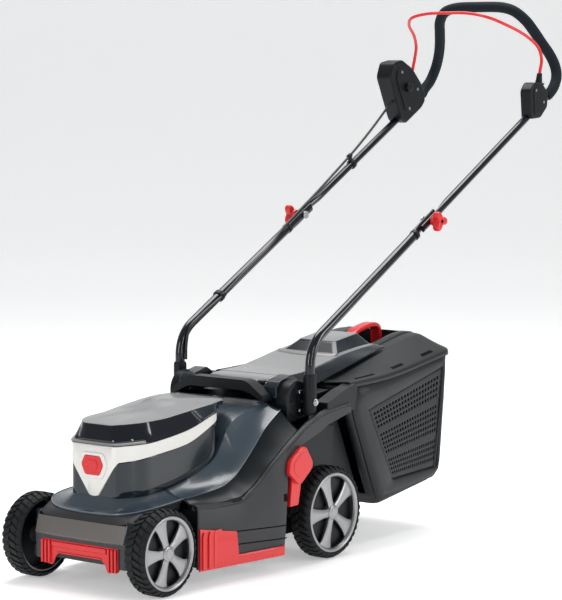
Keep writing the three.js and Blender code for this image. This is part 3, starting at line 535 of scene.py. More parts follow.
piece("hood", verts, keep, "hood_paint", "deck", ["hood_cover"],
      mats=[look["hood_paint"], under_band, painted_ridge_highlight],
      which=kinds, thick=2.6, smooth=34)

FOOT = [(84, -352, 164), (82, -385, 161), (75, -412, 159), (64, -432, 158), (48, -447, 157.5),
        (24, -450, 157), (0, -450, 157)]
RIDGE = [(118.5, -352, 153), (118, -390, 150), (112, -425, 146), (96, -449, 141), (68, -465, 137),
         (34, -470, 135.5), (0, -471, 135)]
RIM = [(114, -352, 140), (113, -390, 138), (109, -437, 134), (104, -466, 128), (92, -477, 124),
       (44, -481, 122.5), (0, -481, 122.5)]
feet, ridges, rims = [through(k, 6) for k in (FOOT, RIDGE, RIM)]
rows = []
for a, b, c in zip(feet, ridges, rims):
    outwards = (Vector(b) - Vector(a)).normalized()
    row = [tuple(Vector(a) - outwards * 12 + Vector((0, 0, 2)))] + flare(a, b)
    row += ridge_lip(*b, dx=outwards.x, dy=outwards.y)
    lip = Vector(row[-1])
    row.append(tuple(lip + Vector((0, 0, -3.2)) - outwards * 1.2))
    under = Vector(row[-1])
    row += [tuple(under.lerp(Vector(c), t) + Vector((0, 0, 1.6 * math.sin(math.pi * t)))) for t in (0.5, 1.0)]
    row.append((c[0], c[1], c[2] - 5))
    rows.append(row)
far_rows = [[(-x, y, z) for x, y, z in row] for row in reversed(rows[:-1])]
verts, faces = grid(rows + far_rows)
count = len(rows[0]) - 1
# Faces 9 and 10 of each row, on the ridge lip, get the painted highlight; faces from 12 on, under the lip,
# get the chassis plastic.
kinds = [1 if i % count >= 12 else 2 if 9 <= i % count < 11 else 0 for i in range(len(faces))]
piece("hood nose", verts, faces, "hood_paint", "deck", ["hood_nose"],
      mats=[look["hood_paint"], look["chassis_plastic"], painted_ridge_highlight], which=kinds, thick=2.2, smooth=34)

# ---------- chassis ----------
# The deck shell, seen under the deck and inside the wheel arches, gets the near-black band colour as painted
# shade.
finish_cad(["deck_shell"], "chassis_plastic", 1.2, mat=under_band)
finish_cad(["deck_nose"], "chassis_plastic", 1.2)


def fender(side):
    """The side of the chassis from the belt line down, with two parting lines."""
    rows = []
    for y in steps(-351.5, 70, 84):
        x, top, low = skirt_x(y) + 1.1, belt_z(y), arch_z(y) if y > -141 else 31.5
        row = []
        for t in (0, 0.01, 0.5, 0.98, 1.0):
            row.append((x - (1.2 if t in (0, 1.0) else 0), y, low + (top - 7 - low) * t))
        row += [(x - 1.0, y, top - 3.5), (x - 4.0, y, top - 0.6), (x - 9, y, top + 0.2)]
        rows.append(row)
    return on_side(grid(rows), side)


def groove(side, y0, y1, z0, z1, height=2.0):
    """A thin shadow line set into the fender's face."""
    rows = []
    for y in steps(y0, y1, 24):
        z = z0 + (z1 - z0) * (y - y0) / (y1 - y0)
        x = skirt_x(y) + 1.25
        rows.append([(x, y, z), (x, y, z + height)])
    return on_side(grid(rows), side)


for name, side in SIDES:
    piece(f"fender {name}", *fender(side), "chassis_plastic", "deck", thick=1.0, smooth=35)
    for level, (z0, z1) in enumerate(((86, 80), (63, 57))):
        piece(f"parting line {level} {name}", *groove(side, -262, -133.5, z0, z1), "black_plastic",
              "deck", mats=[dark_slit], thick=0.3, side=1)
    notch = on_side(block(skirt_x(-136) - 4, skirt_x(-136) + 1.6, -142, -132, 124, 138), side)
    piece(f"fender notch {name}", *notch, "black_plastic", "deck", mats=[dark_slit], bevel=0.8)

# ---------- nose: bumper plate and combs ----------
plate = []
for x in steps(-101, 101, 48):
    lean = 4.0 * (abs(x) / 101) ** 4
    plate.append([(x, y + lean, z) for y, z in round_loop(
        [(-482.5, 122), (-491.5, 91), (-486, 87.5), (-482, 88), (-481.5, 118)], 1.6, 3)])
piece("bumper plate", *capped(plate), "nose_plastic", "deck", ["front_bumper"], smooth=40)
for name, side in SIDES:
    corner = capped([[(99, -486 + lean, z), (103, -485 + lean, z), (115, -470, z), (116, -438, z),
                      (99, -438, z)]
                     for z, lean in ((46, 1), (90, 0), (122, 6), (128, 12))])
    piece(f"nose corner {name}", *on_side(corner, side), "chassis_plastic", "deck", mats=[teal], bevel=2.0,
          segments=3)

surround = merge(block(-101, 101, -484.6, -481.6, 80, 91), block(-101, -85, -484.6, -481.6, 46, 82),
                 block(85, 101, -484.6, -481.6, 46, 82))
piece("comb surround", *surround, "black_plastic", "deck", mats=[teal], bevel=1.2, segments=3)
comb_outline = round_loop([(-88, 82), (-88, 41), (-64, 37), (-57, 52), (-48, 59), (48, 59), (57, 52),
                        (64, 37), (88, 41), (88, 82)], 3, 3)
teeth = [block(x, x + 4.6, -489.8, -485, 40, 80) for x in (-86.5, -78.5, -70.5, 65.9, 73.9, 81.9)]
ledge = prism_x([(-485, 80), (-489, 79), (-489, 71), (-486.5, 69.5), (-485, 69.5)], -62, 62)
foot_rib = prism_x([(-485, 62), (-487.6, 61.5), (-487.6, 59), (-485, 58.6)], -50, 50)
piece("front comb", *merge(prism_y(comb_outline, -485.6, -481.4), *teeth, ledge, foot_rib), "red_plastic",
      "deck", ["front_comb"], bevel=0.7)
for name, side in SIDES:
    skin = []
    for y in steps(-350, -145, 40):
        x = skirt_x(y) + 1.6
        top = 46 if y > -261 else 103 + (88 - 103) * (y + 350) / 88
        skin.append([(x, y, 28), (x + 3.4, y, 29), (x + 4.0, y, 34), (x + 4.0, y, top - 2),
                     (x + 3.2, y, top), (x, y, top)])
    ribs = []
    for y, wide in ((-346, 5), (-332, 5), (-318, 22)):
        x = skirt_x(y) + 2
        shape = round_loop([(y, 0, 31), (y, 0, 88), (y + 2.5, 0, 97), (y + wide - 2, 0, 97),
                            (y + wide, 0, 88),
                         (y + wide, 0, 31)], 2, 2)
        ribs.append(prism_x([(py, pz) for py, _, pz in shape], x, x + (6.5 if wide < 10 else 4.6)))
    comb = on_side(merge(capped(skin), *ribs), side)
    piece(f"side comb {name}", *comb, "red_plastic", "deck", [f"side_comb_{name}"], bevel=0.7)

# ---------- tower: cowl, trim, badge ----------
PLAN = [(50, -447), (70, -420), (80, -395), (85, -300), (85, -215), (62, -190)]


def plan(grow, n=6, spots=PLAN):
    """The tower's outline as one closed loop of (x, y), with rounded corners."""
    spots = [(x + (grow if k else 0), y + (0 if 0 < k < 5 else (-grow if k == 0 else grow)), 0)
             for k, (x, y) in enumerate(spots)]
    loop = spots + [(-x, y, z) for x, y, z in reversed(spots)]
    radii = [9, 10, 20, 30, 14, 8, 8][:len(spots)]
    dense = round_loop(loop, radii + radii[::-1], n)
    out = []
    for a, b in zip(dense, dense[1:] + dense[:1]):
        a, b = Vector(a), Vector(b)
        parts = max(1, int((b - a).length / 7))
        out += [tuple(a + (b - a) * k / parts) for k in range(parts)]
    return [(x, y) for x, y, _ in out]


def v_foot(x, y):
    """The lower edge of the white trim: a V on the front face, a rising line along the sides."""
    if y > -436:
        return trim_foot(y)
    reach = min(1.0, max(0.0, (abs(x) - 9) / 44))
    return 157 + (trim_foot(y) - 157) * reach


cowl = plan(0)
rows = []
for t in (0, 0.25, 0.5, 0.75, 0.97, 1.0):
    row = []
    for x, y in cowl:
        foot = max(base_z(y), 137) - 3
        top = v_foot(x, y) + 0.2
        row.append((x * (1.004 - 0.004 * t), y, foot + (max(top, foot + 2) - foot) * t))
    rows.append(row)
piece("motor cowl", *grid(rows, closed=True), "cowl_gloss", "deck", ["motor_cowl"], thick=2.4, smooth=50)
trim = plan(1.3)
rows = []
for t, out in ((0, -0.012), (0.03, 0), (0.5, 0), (0.97, 0), (1.0, -0.012)):
    rows.append([(x * (1 + out), -300 + (y + 300) * (1 + out),
                  v_foot(x, y) + (lid_foot(y) - v_foot(x, y)) * t) for x, y in trim])
piece("white trim", *grid(rows, closed=True), "white_plastic", "deck", ["white_trim"], thick=2.6, smooth=50)
frame_rim = round_loop([(-24, 0, 235), (24, 0, 235), (33, 0, 214), (22, 0, 190), (-22, 0, 190),
                        (-33, 0, 214)],
                    7, 5)
piece("badge surround", *prism_y([(x, z) for x, _, z in frame_rim], -450.6, -447.4), "white_plastic",
      "deck", bevel=1.0, segments=3)
badge = round_loop([(-17, 0, 230), (17, 0, 230), (25, 0, 214), (16, 0, 196), (-16, 0, 196), (-25, 0, 214)],
                4, 5)
piece("badge plate", *prism_y([(x, z) for x, _, z in badge], -452.4, -450), "red_plastic", "deck",
      ["badge"], bevel=1.2, segments=3)
inset = [(x * 0.55, 213.5 + (z - 213.5) * 0.55) for x, _, z in badge]
piece("badge inset", *prism_y(inset, -453.4, -452.2), "red_plastic", "deck", bevel=0.5)

# ---------- battery lid ----------
TOP_PLAN = [(34, -437), (52, -419), (65, -391), (73, -300), (76, -215), (67, -170), (52, -150)]


def even(loop, count=168):
    """The loop again, with points at equal steps along it."""
    pts = [Vector((x, y, 0)) for x, y in loop]
    lengths = [(b - a).length for a, b in zip(pts, pts[1:] + pts[:1])]
    total, out, i, run = sum(lengths), [], 0, 0.0
    for k in range(count):
        want = total * k / count
        while run + lengths[i] < want:
            run += lengths[i]
            i += 1
        p = pts[i].lerp(pts[(i + 1) % len(pts)], (want - run) / lengths[i])
        out.append((p.x, p.y))
    return out


lid_low, lid_high = even(plan(1.6)), even(plan(0, spots=TOP_PLAN))


def lid_loop(t, grow=0.0):
    """A loop of the lid between its foot (t = 0) and its upper edge (t = 1)."""
    out = []
    for (xa, ya), (xb, yb) in zip(lid_low, lid_high):
        x, y = xa + (xb - xa) * t, ya + (yb - ya) * t
        out.append((x * (1 + grow), -320 + (y + 320) * (1 + grow),
                    lid_foot(ya) + 0.8 + (lid_edge(yb) - lid_foot(ya) - 0.8) * t))
    return out


visor_rows = [lid_loop(0, 0.004), lid_loop(0.02, 0.022), lid_loop(0.1, 0.022), lid_loop(0.14, 0.006)]
visor_rows += [lid_loop(t, 0.004 * (1 - t)) for t in (0.3, 0.5, 0.7, 0.9, 0.98, 1.0)]
verts, faces = grid(visor_rows, closed=True)
count = len(visor_rows[0])


def lid_zone(face):
    """0 for the visor, 1 for the dark sides behind its slanted rear edge, 2 for its lower lip at the front,
    whose light grey is a painted highlight, and for one light seam line near x = -38.
    """
    mid = sum((Vector(verts[v]) for v in face), Vector()) / len(face)
    if mid.y > -271 + (294 - mid.z) * 0.75:
        return 1
    row = min(face) // count
    seam = row > 3 and mid.y < -430 and -40 < lid_low[min(v % count for v in face)][0] < -35.5
    return 2 if seam or (row < 3 and mid.y < -400) else 0


kinds = [lid_zone(f) for f in faces]
zones = ((0, "visor", "visor_gloss", ["lid_visor"], look["visor_gloss"]),
         (1, "lid rear sides", "cowl_gloss", [], teal),
         # The lower lip's light grey stands for a painted highlight along the lip.
         (2, "visor lip", "lid_satin", [], look["lid_satin"]))
for zone, name, slot, stands_for, mat in zones:
    piece(name, verts, [f for f, k in zip(faces, kinds) if k == zone], slot, "battery_lid", stands_for,
          mats=[mat], thick=2.4, smooth=50)
crown_rows = [lid_loop(1.0, 0.002)]
for t in (0.99, 0.96, 0.9, 0.8, 0.65, 0.45, 0.2):
    crown_rows.append([(x * t, -312 + (y + 312) * t, z + 0.6 + 9.0 * (1 - t ** 2))
                       for x, y, z in visor_rows[-1]])
top_verts, top_faces = grid(crown_rows, closed=True)
top_faces.append(tuple(range(len(top_verts) - count, len(top_verts))))
piece("lid top", top_verts, top_faces, "lid_satin", "battery_lid", ["lid_cover"], thick=2.4, smooth=60)
for name, side in SIDES:
    hinge = bar_x(5, 30, 44, -150, 293, 28)
    piece(f"lid hinge {name}", *on_side(hinge, side), "black_plastic", "battery_lid", bevel=0.6)

# ---------- inside the tower ----------
finish_cad(["motor_can"], "steel", 0.8)
finish_cad(["battery_bay", "battery_pack"], "black_plastic", 1.0)
finish_cad(["motor_shaft", "blade", "front_axle", "rear_axle", "height_link", "flap_pin"], "steel", 0.4)
finish_cad(["blade_fan"], "black_plastic", 0.5)
for k in range(5):
    piece(f"battery grip {k}", *block(-30, 30, -392 + 12 * k, -388 + 12 * k, 241.5, 244),
          "black_plastic", "battery", bevel=0.6)

# ---------- height lever ----------
foot = block(141.3, 178, -121, -100, 113, 129)
arm = prism_x([(-124, 112), (-99, 112), (-88, 164), (-118, 164)], 172.5, 181)
paddle = prism_x(round_loop([(-96, 219), (-86, 217), (-66, 187), (-68, 176), (-100, 152), (-109, 152),
                          (-136, 174), (-133, 197)], 6, 4), 180, 189.2)
piece("height lever", *merge(foot, arm, paddle), "red_plastic", "rear_axle", ["height_lever"], bevel=1.6,
      segments=3)
inner = prism_x(round_loop([(-99, 207), (-91, 206), (-77, 186), (-79, 180), (-102, 163), (-108, 163),
                         (-125, 177), (-123, 193)], 5, 4), 188.5, 190)
piece("lever face", *inner, "red_plastic", "rear_axle", bevel=0.7)

# ---------- carry handle, brackets, rear frame ----------
bridge = round_loop([(-106, 293), (-66, 311), (66, 311), (106, 293), (106, 303), (67, 330), (-67, 330),
                  (-106, 303)], [2, 8, 8, 2, 5, 12, 12, 5], 5)
piece("carry handle", *prism_y(bridge, -108, -80), "black_plastic", "deck", ["carry_handle"], bevel=4,
      segments=4)
finish_cad(["rear_frame"], "black_plastic", 1.5)
for name, side in SIDES:
    disc = lathe_x(round_loop([(113, 0.3), (113, 36), (136, 36), (138.4, 33), (138.4, 26), (137, 25),
                            (137, 0.3)], 0.8, 2), 0, -42, 293, 56)
    foot = prism_x([(-76, 252), (-10, 262), (-10, 290), (-76, 290)], 113, 137.6)
    console = prism_x(round_loop([(-78, 296), (-78, 318), (-68, 328), (-30, 336), (-12, 326), (-12, 296)],
                              4, 4), 86, 114)
    piece(f"bracket {name}", *on_side(merge(disc, foot), side), "black_plastic", "deck",
          [f"handle_bracket_{name}"], bevel=0.8)
    piece(f"console {name}", *on_side(console, side), "cowl_gloss", "deck", mats=[teal], bevel=1.6,
          segments=3)
    screws = [bar_x(4.4, 136.5, 140, -38, z, 24, 0.8) for z in (307, 272)]
    piece(f"bracket screws {name}", *on_side(merge(*screws), side), "steel", "deck", smooth=30)
    slots = [block(139.6, 140.3, -41, -35, z - 0.6, z + 0.6) for z in (307, 272)]
    piece(f"screw slots {name}", *on_side(merge(*slots), side), "black_plastic", "deck", mats=[dark_slit])

# ---------- rear flap ----------
flap_top = curve([(-62, 315), (-25, 326), (55, 330), (109, 338), (177, 350), (270, 360), (288, 361)])
flap_low = curve([(-4, 304), (62, 308), (103, 317), (236, 346), (288, 357)])
rows = []
for y in steps(-4, 286, 58):
    half = rounded([(98, 0, flap_low(y) - 1), (97.4, 0, flap_low(y) + 1), (77, 0, flap_top(y)),
                    (40, 0, flap_top(y) + 0.8)], [1, 1.5, 3, 1], 3)
    right = [(x, y, z) for x, _, z in half]
    rows.append(right + [(-x, py, z) for x, py, z in reversed(right)])
verts, faces = grid(rows)
count = len(rows[0]) - 1
kinds = [1 if min(c, count - 1 - c) < 7 else 0 for _ in range(len(rows) - 1) for c in range(count)]
piece("rear flap", verts, faces, "lid_satin", "rear_flap", ["rear_flap"],
      mats=[look["lid_satin"], teal], which=kinds, thick=2.6, smooth=32)
tongue = [[(x, y + 6 * (abs(x) / 74) ** 2 * (y < -40), z) for x, z in
           [(-74, flap_top(y) - 3), (-74, flap_top(y) - 0.4), (-50, flap_top(y) + 0.4),
            (50, flap_top(y) + 0.4),
            (74, flap_top(y) - 0.4), (74, flap_top(y) - 3)]] for y in steps(-61, 6, 16)]
piece("flap tongue", *capped(tongue), "lid_satin", "rear_flap", bevel=1.0, smooth=35)
knuckles = merge(*[bar_x(6, x - 8, x + 8, -50, 318) for x in (-60, 60)])
piece("flap knuckles", *knuckles, "black_plastic", "rear_flap", bevel=0.6)
low_loop = round_loop([(-66, 171, 347), (66, 171, 347), (66, 287, 361), (-66, 287, 361)], 7, 4)
high_loop = round_loop([(-43, 200, 370), (43, 200, 370), (43, 276, 380), (-43, 276, 380)], 6, 4)
rows = []
for t, lift in ((0, 0), (0.9, 0), (0.97, 0.4), (1.0, 0.8)):
    tt = min(t, 0.97) / 0.97
    rows.append([tuple(Vector(a).lerp(Vector(b), tt) + Vector((0, 0, lift)))
                 for a, b in zip(low_loop, high_loop)])
rows.append([tuple(Vector(p).lerp(Vector((0, 238, 376)), 0.06) + Vector((0, 0, 0.9))) for p in rows[-1]])
verts, faces = capped(rows)
face_kind = []
for f in faces:
    mid = sum((Vector(verts[v]) for v in f), Vector()) / len(f)
    face_kind.append(0 if len(f) > 4 or mid.z > 371 + (mid.y - 200) * 0.13 else 1)
piece("flap block", verts, faces, "lid_satin", "rear_flap", mats=[look["lid_satin"], teal],
      which=face_kind, smooth=40)
for name, side in SIDES:
    pane = []
    for t in (0.12, 0.9):
        y, z = 171 + 29 * t, 347 + 23 * t
        x_in, x_out = 5, (66 - 23 * t) - 7
        pane.append([(side * x_in, y - 1.0, z), (side * x_out, y - 1.0, z),
                     (side * x_out, y + 3, z), (side * x_in, y + 3, z)])
    piece(f"flap window {name}", *capped(pane), "cowl_gloss", "rear_flap", mats=[under_band], bevel=0.8)
step_rows = [[(x, 150 + 10 * t + 0.002 * x * x, flap_top(150 + 10 * t) + 0.2 + 5.0 * t)
              for x in steps(-70, 70, 20)]
             for t in (0, 0.5, 1.0)] + [[(x, 176, 352) for x in steps(-70, 70, 20)]]
piece("flap step", *grid(step_rows), "lid_satin", "rear_flap", thick=1.2, smooth=40)

# ---------- grass box ----------
lid_ridge = curve([(88, 305), (117, 310), (212, 333), (305, 355), (412, 371), (424, 366)])
lip_z = curve([(90, 303), (182, 305), (398, 332), (424, 336)])
rows = []
for y in steps(88, 425, 68):
    t = max(0.0, (y - 408) / 17)
    inset = 8 * t * t
    drop = 14 * t * t
    ridge = max(lid_ridge(min(y, 412)), lip_z(y) + 6) - drop * 0.5
    top = ridge if y < 290 else lid_ridge(min(y, 412)) + 3 - drop
    half = rounded([(162 - inset, 0, lip_z(y)), (161 - inset, 0, lip_z(y) + 8),
                    (156 - inset, 0, lip_z(y) + 11),
                    (96 - inset, 0, ridge), (72, 0, max(top, ridge)), (53, 0, max(top, ridge))],
                   [1, 2, 4, 3, 5, 1], 3)
    right = [(x, y, z) for x, _, z in half]
    rows.append(right + [(-x, py, z) for x, py, z in reversed(right)])
verts, faces = grid(rows)
keep = [f for f in faces if not all(abs(verts[v][0]) < 60 and 300 < verts[v][1] < 411 for v in f)]
piece("box lid", verts, keep, "box_plastic", "grass_box", ["grass_box_lid"], thick=3, smooth=30)


def rim_top(y):
    """The height of the lid's rim round the handle well."""
    return lid_ridge(min(y, 412)) + 3.2


hole_y = steps(298, 412, 20)
for name, side in SIDES:
    strip = [[(side * x, y, rim_top(y) ) for x in (52, 56, 76)] for y in hole_y]
    piece(f"box lid strip {name}", *grid(strip), "box_plastic", "grass_box", thick=3, smooth=30)
well = [[(x, y, z if z < 350 else rim_top(y)) for x, z in
         rounded([(-52.5, 380), (-50, 337), (50, 337), (52.5, 380)], 5, 3)] for y in steps(301, 409, 12)]
piece("handle well", *grid([[(x, y, min(z, rim_top(y))) for x, y, z in row] for row in well]),
      "black_plastic", "grass_box", thick=2, side=1, smooth=40)
for y in (300, 409):
    piece(f"well end {y}", *block(-54, 54, y - 1.2, y + 1.2, 334, rim_top(y) - 0.3), "black_plastic",
          "grass_box", bevel=0.6)
for k, (y0, y1) in enumerate(((124, 182), (240, 276), (340, 376))):
    for name, side in SIDES:
        slit = []
        for y in steps(y0, y1, 8):
            ridge = lid_ridge(y)
            low = lip_z(y) + 11
            x = 148
            z = low + (ridge - low) * (156 - x) / 60
            slit.append([(side * (x + 3.4), y, z - 0.9), (side * (x - 3.4), y, z + 1.9),
                         (side * (x - 3.4), y, z - 2), (side * (x + 3.4), y, z - 4)])
        piece(f"lid vent {k} {name}", *capped(slit), "black_plastic", "grass_box", mats=[dark_slit])
for name, side in SIDES:
    cheek = prism_x(round_loop([(2, 250), (2, 285), (51, 302), (92, 311), (96, 304), (88, 264), (60, 264)],
                            3, 3), 143, 171)
    piece(f"box cheek {name}", *on_side(cheek, side), "box_plastic", "grass_box", mats=[side_dark], bevel=1.5,
          segments=3)

# The tub: front, bottom and rear walls, and side walls with a recessed perforated panel.
tub_levels = [(68, 146, 192, 376, 25), (90, 153, 170, 394, 23), (257, 157, 90, 413, 0),
              (303, 160, 90, 417, 0)]


def wall_point(y, z, out=0.0):
    """The side wall's point at (y, z)."""
    low = 68 + 25 * max(0.0, min(1.0, (y - 192) / 184))
    x = curve([(68, 146), (90, 153), (257, 157), (303, 160)])(z)
    return (x + out, y, max(z, low))


rows = []
for z, x, y0, y1, rise in tub_levels:
    loop = round_loop([(-x, y0, z), (x, y0, z), (x, y1, z + rise), (-x, y1, z + rise)], 16, 5)
    if z > 300:
        loop = [(px, py, lip_z(py) + 1.5) for px, py, _ in loop]
    rows.append(loop)
fine = [rows[0]]
for a, b in zip(rows, rows[1:]):
    for t in (0.25, 0.5, 0.75, 1.0):
        fine.append([tuple(Vector(p).lerp(Vector(q), t)) for p, q in zip(a, b)])
verts, faces = grid(fine, closed=True)
faces.append(tuple(range(len(rows[0]))))


def is_mouth(f):
    mid = sum((Vector(verts[v]) for v in f), Vector()) / len(f)
    return len(f) == 4 and mid.y < 186 and abs(mid.x) < 120 and mid.z > 108 and mid.z < 290


def is_side(f):
    mid = sum((Vector(verts[v]) for v in f), Vector()) / len(f)
    return len(f) == 4 and abs(mid.x) > 144 and 95 < mid.z and all(abs(verts[v][0]) > 150 for v in f) \
        and max(verts[v][1] for v in f) - min(verts[v][1] for v in f) > 60


piece("tub", verts, [f for f in faces if not is_mouth(f) and not is_side(f)], "box_plastic", "grass_box",
      ["grass_box_tub"], thick=3, smooth=45)

# The panel's corners as (y, z): front top, rear top, rear bottom, front bottom.
PANEL = [(153, 254), (399, 312), (388, 116), (236, 110)]


def panel_point(u, v, depth):
    """u from front to rear, v from bottom to top, inside the recessed panel."""
    (ya, za), (yb, zb), (yc, zc), (yd, zd) = PANEL
    y = (1 - v) * ((1 - u) * yd + u * yc) + v * ((1 - u) * ya + u * yb)
    z = (1 - v) * ((1 - u) * zd + u * zc) + v * ((1 - u) * za + u * zb)
    p = wall_point(y, z)
    return (p[0] - depth, y, z)


HOLE_COLUMNS, HOLE_ROWS = 24, 17
for name, side in SIDES:
    verts, faces = [], []

    def add(points):
        base = len(verts)
        verts.extend(points)
        return list(range(base, base + len(points)))
    for i in range(HOLE_COLUMNS):
        for j in range(HOLE_ROWS):
            u0, u1 = i / HOLE_COLUMNS, (i + 1) / HOLE_COLUMNS
            v0, v1 = j / HOLE_ROWS, (j + 1) / HOLE_ROWS
            plain = i in (0, HOLE_COLUMNS - 1) or j in (0, 5, 11, HOLE_ROWS - 1)
            ring = []
            for a in range(8):
                cx = (0, 0.5, 1, 1, 1, 0.5, 0, 0)[a]
                cy = (0, 0, 0, 0.5, 1, 1, 1, 0.5)[a]
                ring.append(panel_point(u0 + (u1 - u0) * cx, v0 + (v1 - v0) * cy, 3.2))
            outer = add(ring)
            if plain:
                faces.append(tuple(outer))
                continue
            hole = []
            for a in range(8):
                angle = math.radians(225 + 45 * a)
                cx, cy = 0.5 + 0.32 * math.cos(angle), 0.5 + 0.34 * math.sin(angle)
                hole.append(panel_point(u0 + (u1 - u0) * cx, v0 + (v1 - v0) * cy, 3.2))
            inner = add(hole)
            for a in range(8):
                b = (a + 1) % 8
                faces.append((outer[a], outer[b], inner[b], inner[a]))
    shape = on_side((verts, faces), side)
    piece(f"perforated panel {name}", *shape, "box_plastic", "grass_box", thick=2.0, side=0, smooth=30)
    # A near-black sheet behind the holes: painted shade inside the box, seen through the perforations.
    shade_sheet = [[panel_point(u, v, 11) for u in steps(0.01, 0.99, 10)] for v in steps(0.01, 0.99, 10)]
    piece(f"panel liner {name}", *on_side(grid(shade_sheet), side), "box_plastic", "grass_box", mats=[dark_slit],
          thick=1.0, side=0)
    # The wall round the panel, stepped in along the panel's edge.
    edge = []
    for depth, grow in ((3.4, 0.0), (0.6, 0.012), (0.0, 0.02)):
        loop = []
        for u, v in [(u, 0) for u in steps(0, 1, 16)][:-1] + [(1, v) for v in steps(0, 1, 12)][:-1] \
                + [(u, 1) for u in steps(1, 0, 16)][:-1] + [(0, v) for v in steps(1, 0, 12)][:-1]:
            uu, vv = 0.5 + (u - 0.5) * (1 + 2 * grow), 0.5 + (v - 0.5) * (1 + 2 * grow)
            loop.append(panel_point(uu, vv, depth))
        edge.append(loop)
    # Rays from the panel's middle out to the wall's outline.
    middle = Vector((290, 200))
    outline = [(176, 92), (192, 74), (376, 98), (394, 114), (405, 250), (404, 333), (300, 320), (182, 304),
               (100, 303), (98, 257)]
    hull = []
    for x, y, z in edge[-1]:
        direction = Vector((y, z)) - middle
        best = None
        for (ya, za), (yb, zb) in zip(outline, outline[1:] + outline[:1]):
            ex, ez = yb - ya, zb - za
            det = direction.x * -ez + direction.y * ex
            if abs(det) < 1e-9:
                continue
            s = ((ya - middle.x) * -ez + (za - middle.y) * ex) / det
            t = (direction.x * (za - middle.y) - direction.y * (ya - middle.x)) / det
            if s > 0 and -1e-6 <= t <= 1 + 1e-6:
                best = s if best is None else min(best, s)
        q = middle + direction * (best or 1.0)
        hull.append((wall_point(q.x, q.y)[0], q.x, q.y))
    middle_loop = [tuple(Vector(a).lerp(Vector(b), 0.5)) for a, b in zip(edge[-1], hull)]
    middle_loop = [(wall_point(y, z)[0], y, z) for _, y, z in middle_loop]
    shape = on_side(grid(edge + [middle_loop, hull], closed=True), side)
    piece(f"tub side {name}", *shape, "box_plastic", "grass_box", thick=2.2, side=0, smooth=35)

handle_line = rounded([(306, 0, 339), (307, 0, 366), (320, 0, 377), (364, 0, 386), (386, 0, 386),
                       (397, 0, 378), (400, 0, 339)], [2, 8, 10, 14, 8, 8, 2], 5)
rows = []
for i, (y, _, z) in enumerate(handle_line):
    a = Vector(handle_line[min(i + 1, len(handle_line) - 1)]) - Vector(handle_line[max(i - 1, 0)])
    a.normalize()
    normal = Vector((-a.z, 0, a.x))
    section = round_loop([(-12, -4.2, 0), (12, -4.2, 0), (12, 4.8, 0), (-12, 4.8, 0)], 3.4, 4)
    rows.append([(px, y + normal.x * pz, z + normal.z * pz) for px, pz, _ in section])
piece("box handle", *capped(rows), "red_plastic", "grass_box", ["box_handle"], smooth=45)

# ---------- handle tubes ----------
tan_slope = math.tan(SLOPE)


def beyond(distance):
    return (KNOB_Y + distance * math.cos(SLOPE), KNOB_Z + distance * math.sin(SLOPE))


bend_z = KNOB_Z - (KNOB_Y - PIVOT_Y) * tan_slope
end_y, end_z = beyond(30)
lower_line = rounded([(LOWER_X, PIVOT_Y, 296), (LOWER_X, PIVOT_Y, bend_z), (LOWER_X, end_y, end_z)], 42, 14)
lead = Vector(lower_line[-2])
tail = Vector(lower_line[-1])
lower_line = lower_line[:-1] + [tuple(lead.lerp(tail, t)) for t in
                                (0.3, 0.6, 0.78, 0.84, 0.87, 0.9, 0.95, 1.0)]
start_y, start_z = beyond(-30)
# The grip bow. Several points are rounded results of measuring with the fitted camera.
GRIP = [(UPPER_X, 783, 832), (158, 799, 845), (156, 816, 860), (153, 826, 877), (147, 829, 896),
        (137, 823, 920), (126, 810, 943), (117, 796, 965), (106, 780, 988), (86, 768, 1007),
        (60, 766, 1015)]


def both(points, middle):
    return points + [middle] + [(-x, y, z) for x, y, z in reversed(points)]


upper_line = through(both([(UPPER_X, start_y, start_z), (UPPER_X, beyond(-6)[0], beyond(-6)[1]),
                           (UPPER_X, beyond(26)[0], beyond(26)[1]), (UPPER_X, beyond(40)[0], beyond(40)[1]),
                           (UPPER_X, 719, 797.5)] + GRIP, (0, 766, 1017)), 8)


def flat_lower(i):
    """The lower tube's upper end is pressed flat against the tube above it."""
    p = Vector(lower_line[i])
    near = (p - Vector((LOWER_X, KNOB_Y, KNOB_Z))).length
    if i < len(lower_line) // 2 or near > 60:
        return 1.0, 0.0
    t = min(1.0, max(0.0, (60 - near) / 26))
    return 1 - 0.55 * t, 0.0


def flat_upper(i):
    _, y, z = upper_line[i]
    near = math.hypot(y - KNOB_Y, z - KNOB_Z)
    if near > 62 or y > 460:
        return 1.0, 0.0
    t = min(1.0, max(0.0, (62 - near) / 26))
    return 1 - 0.45 * t, 0.0


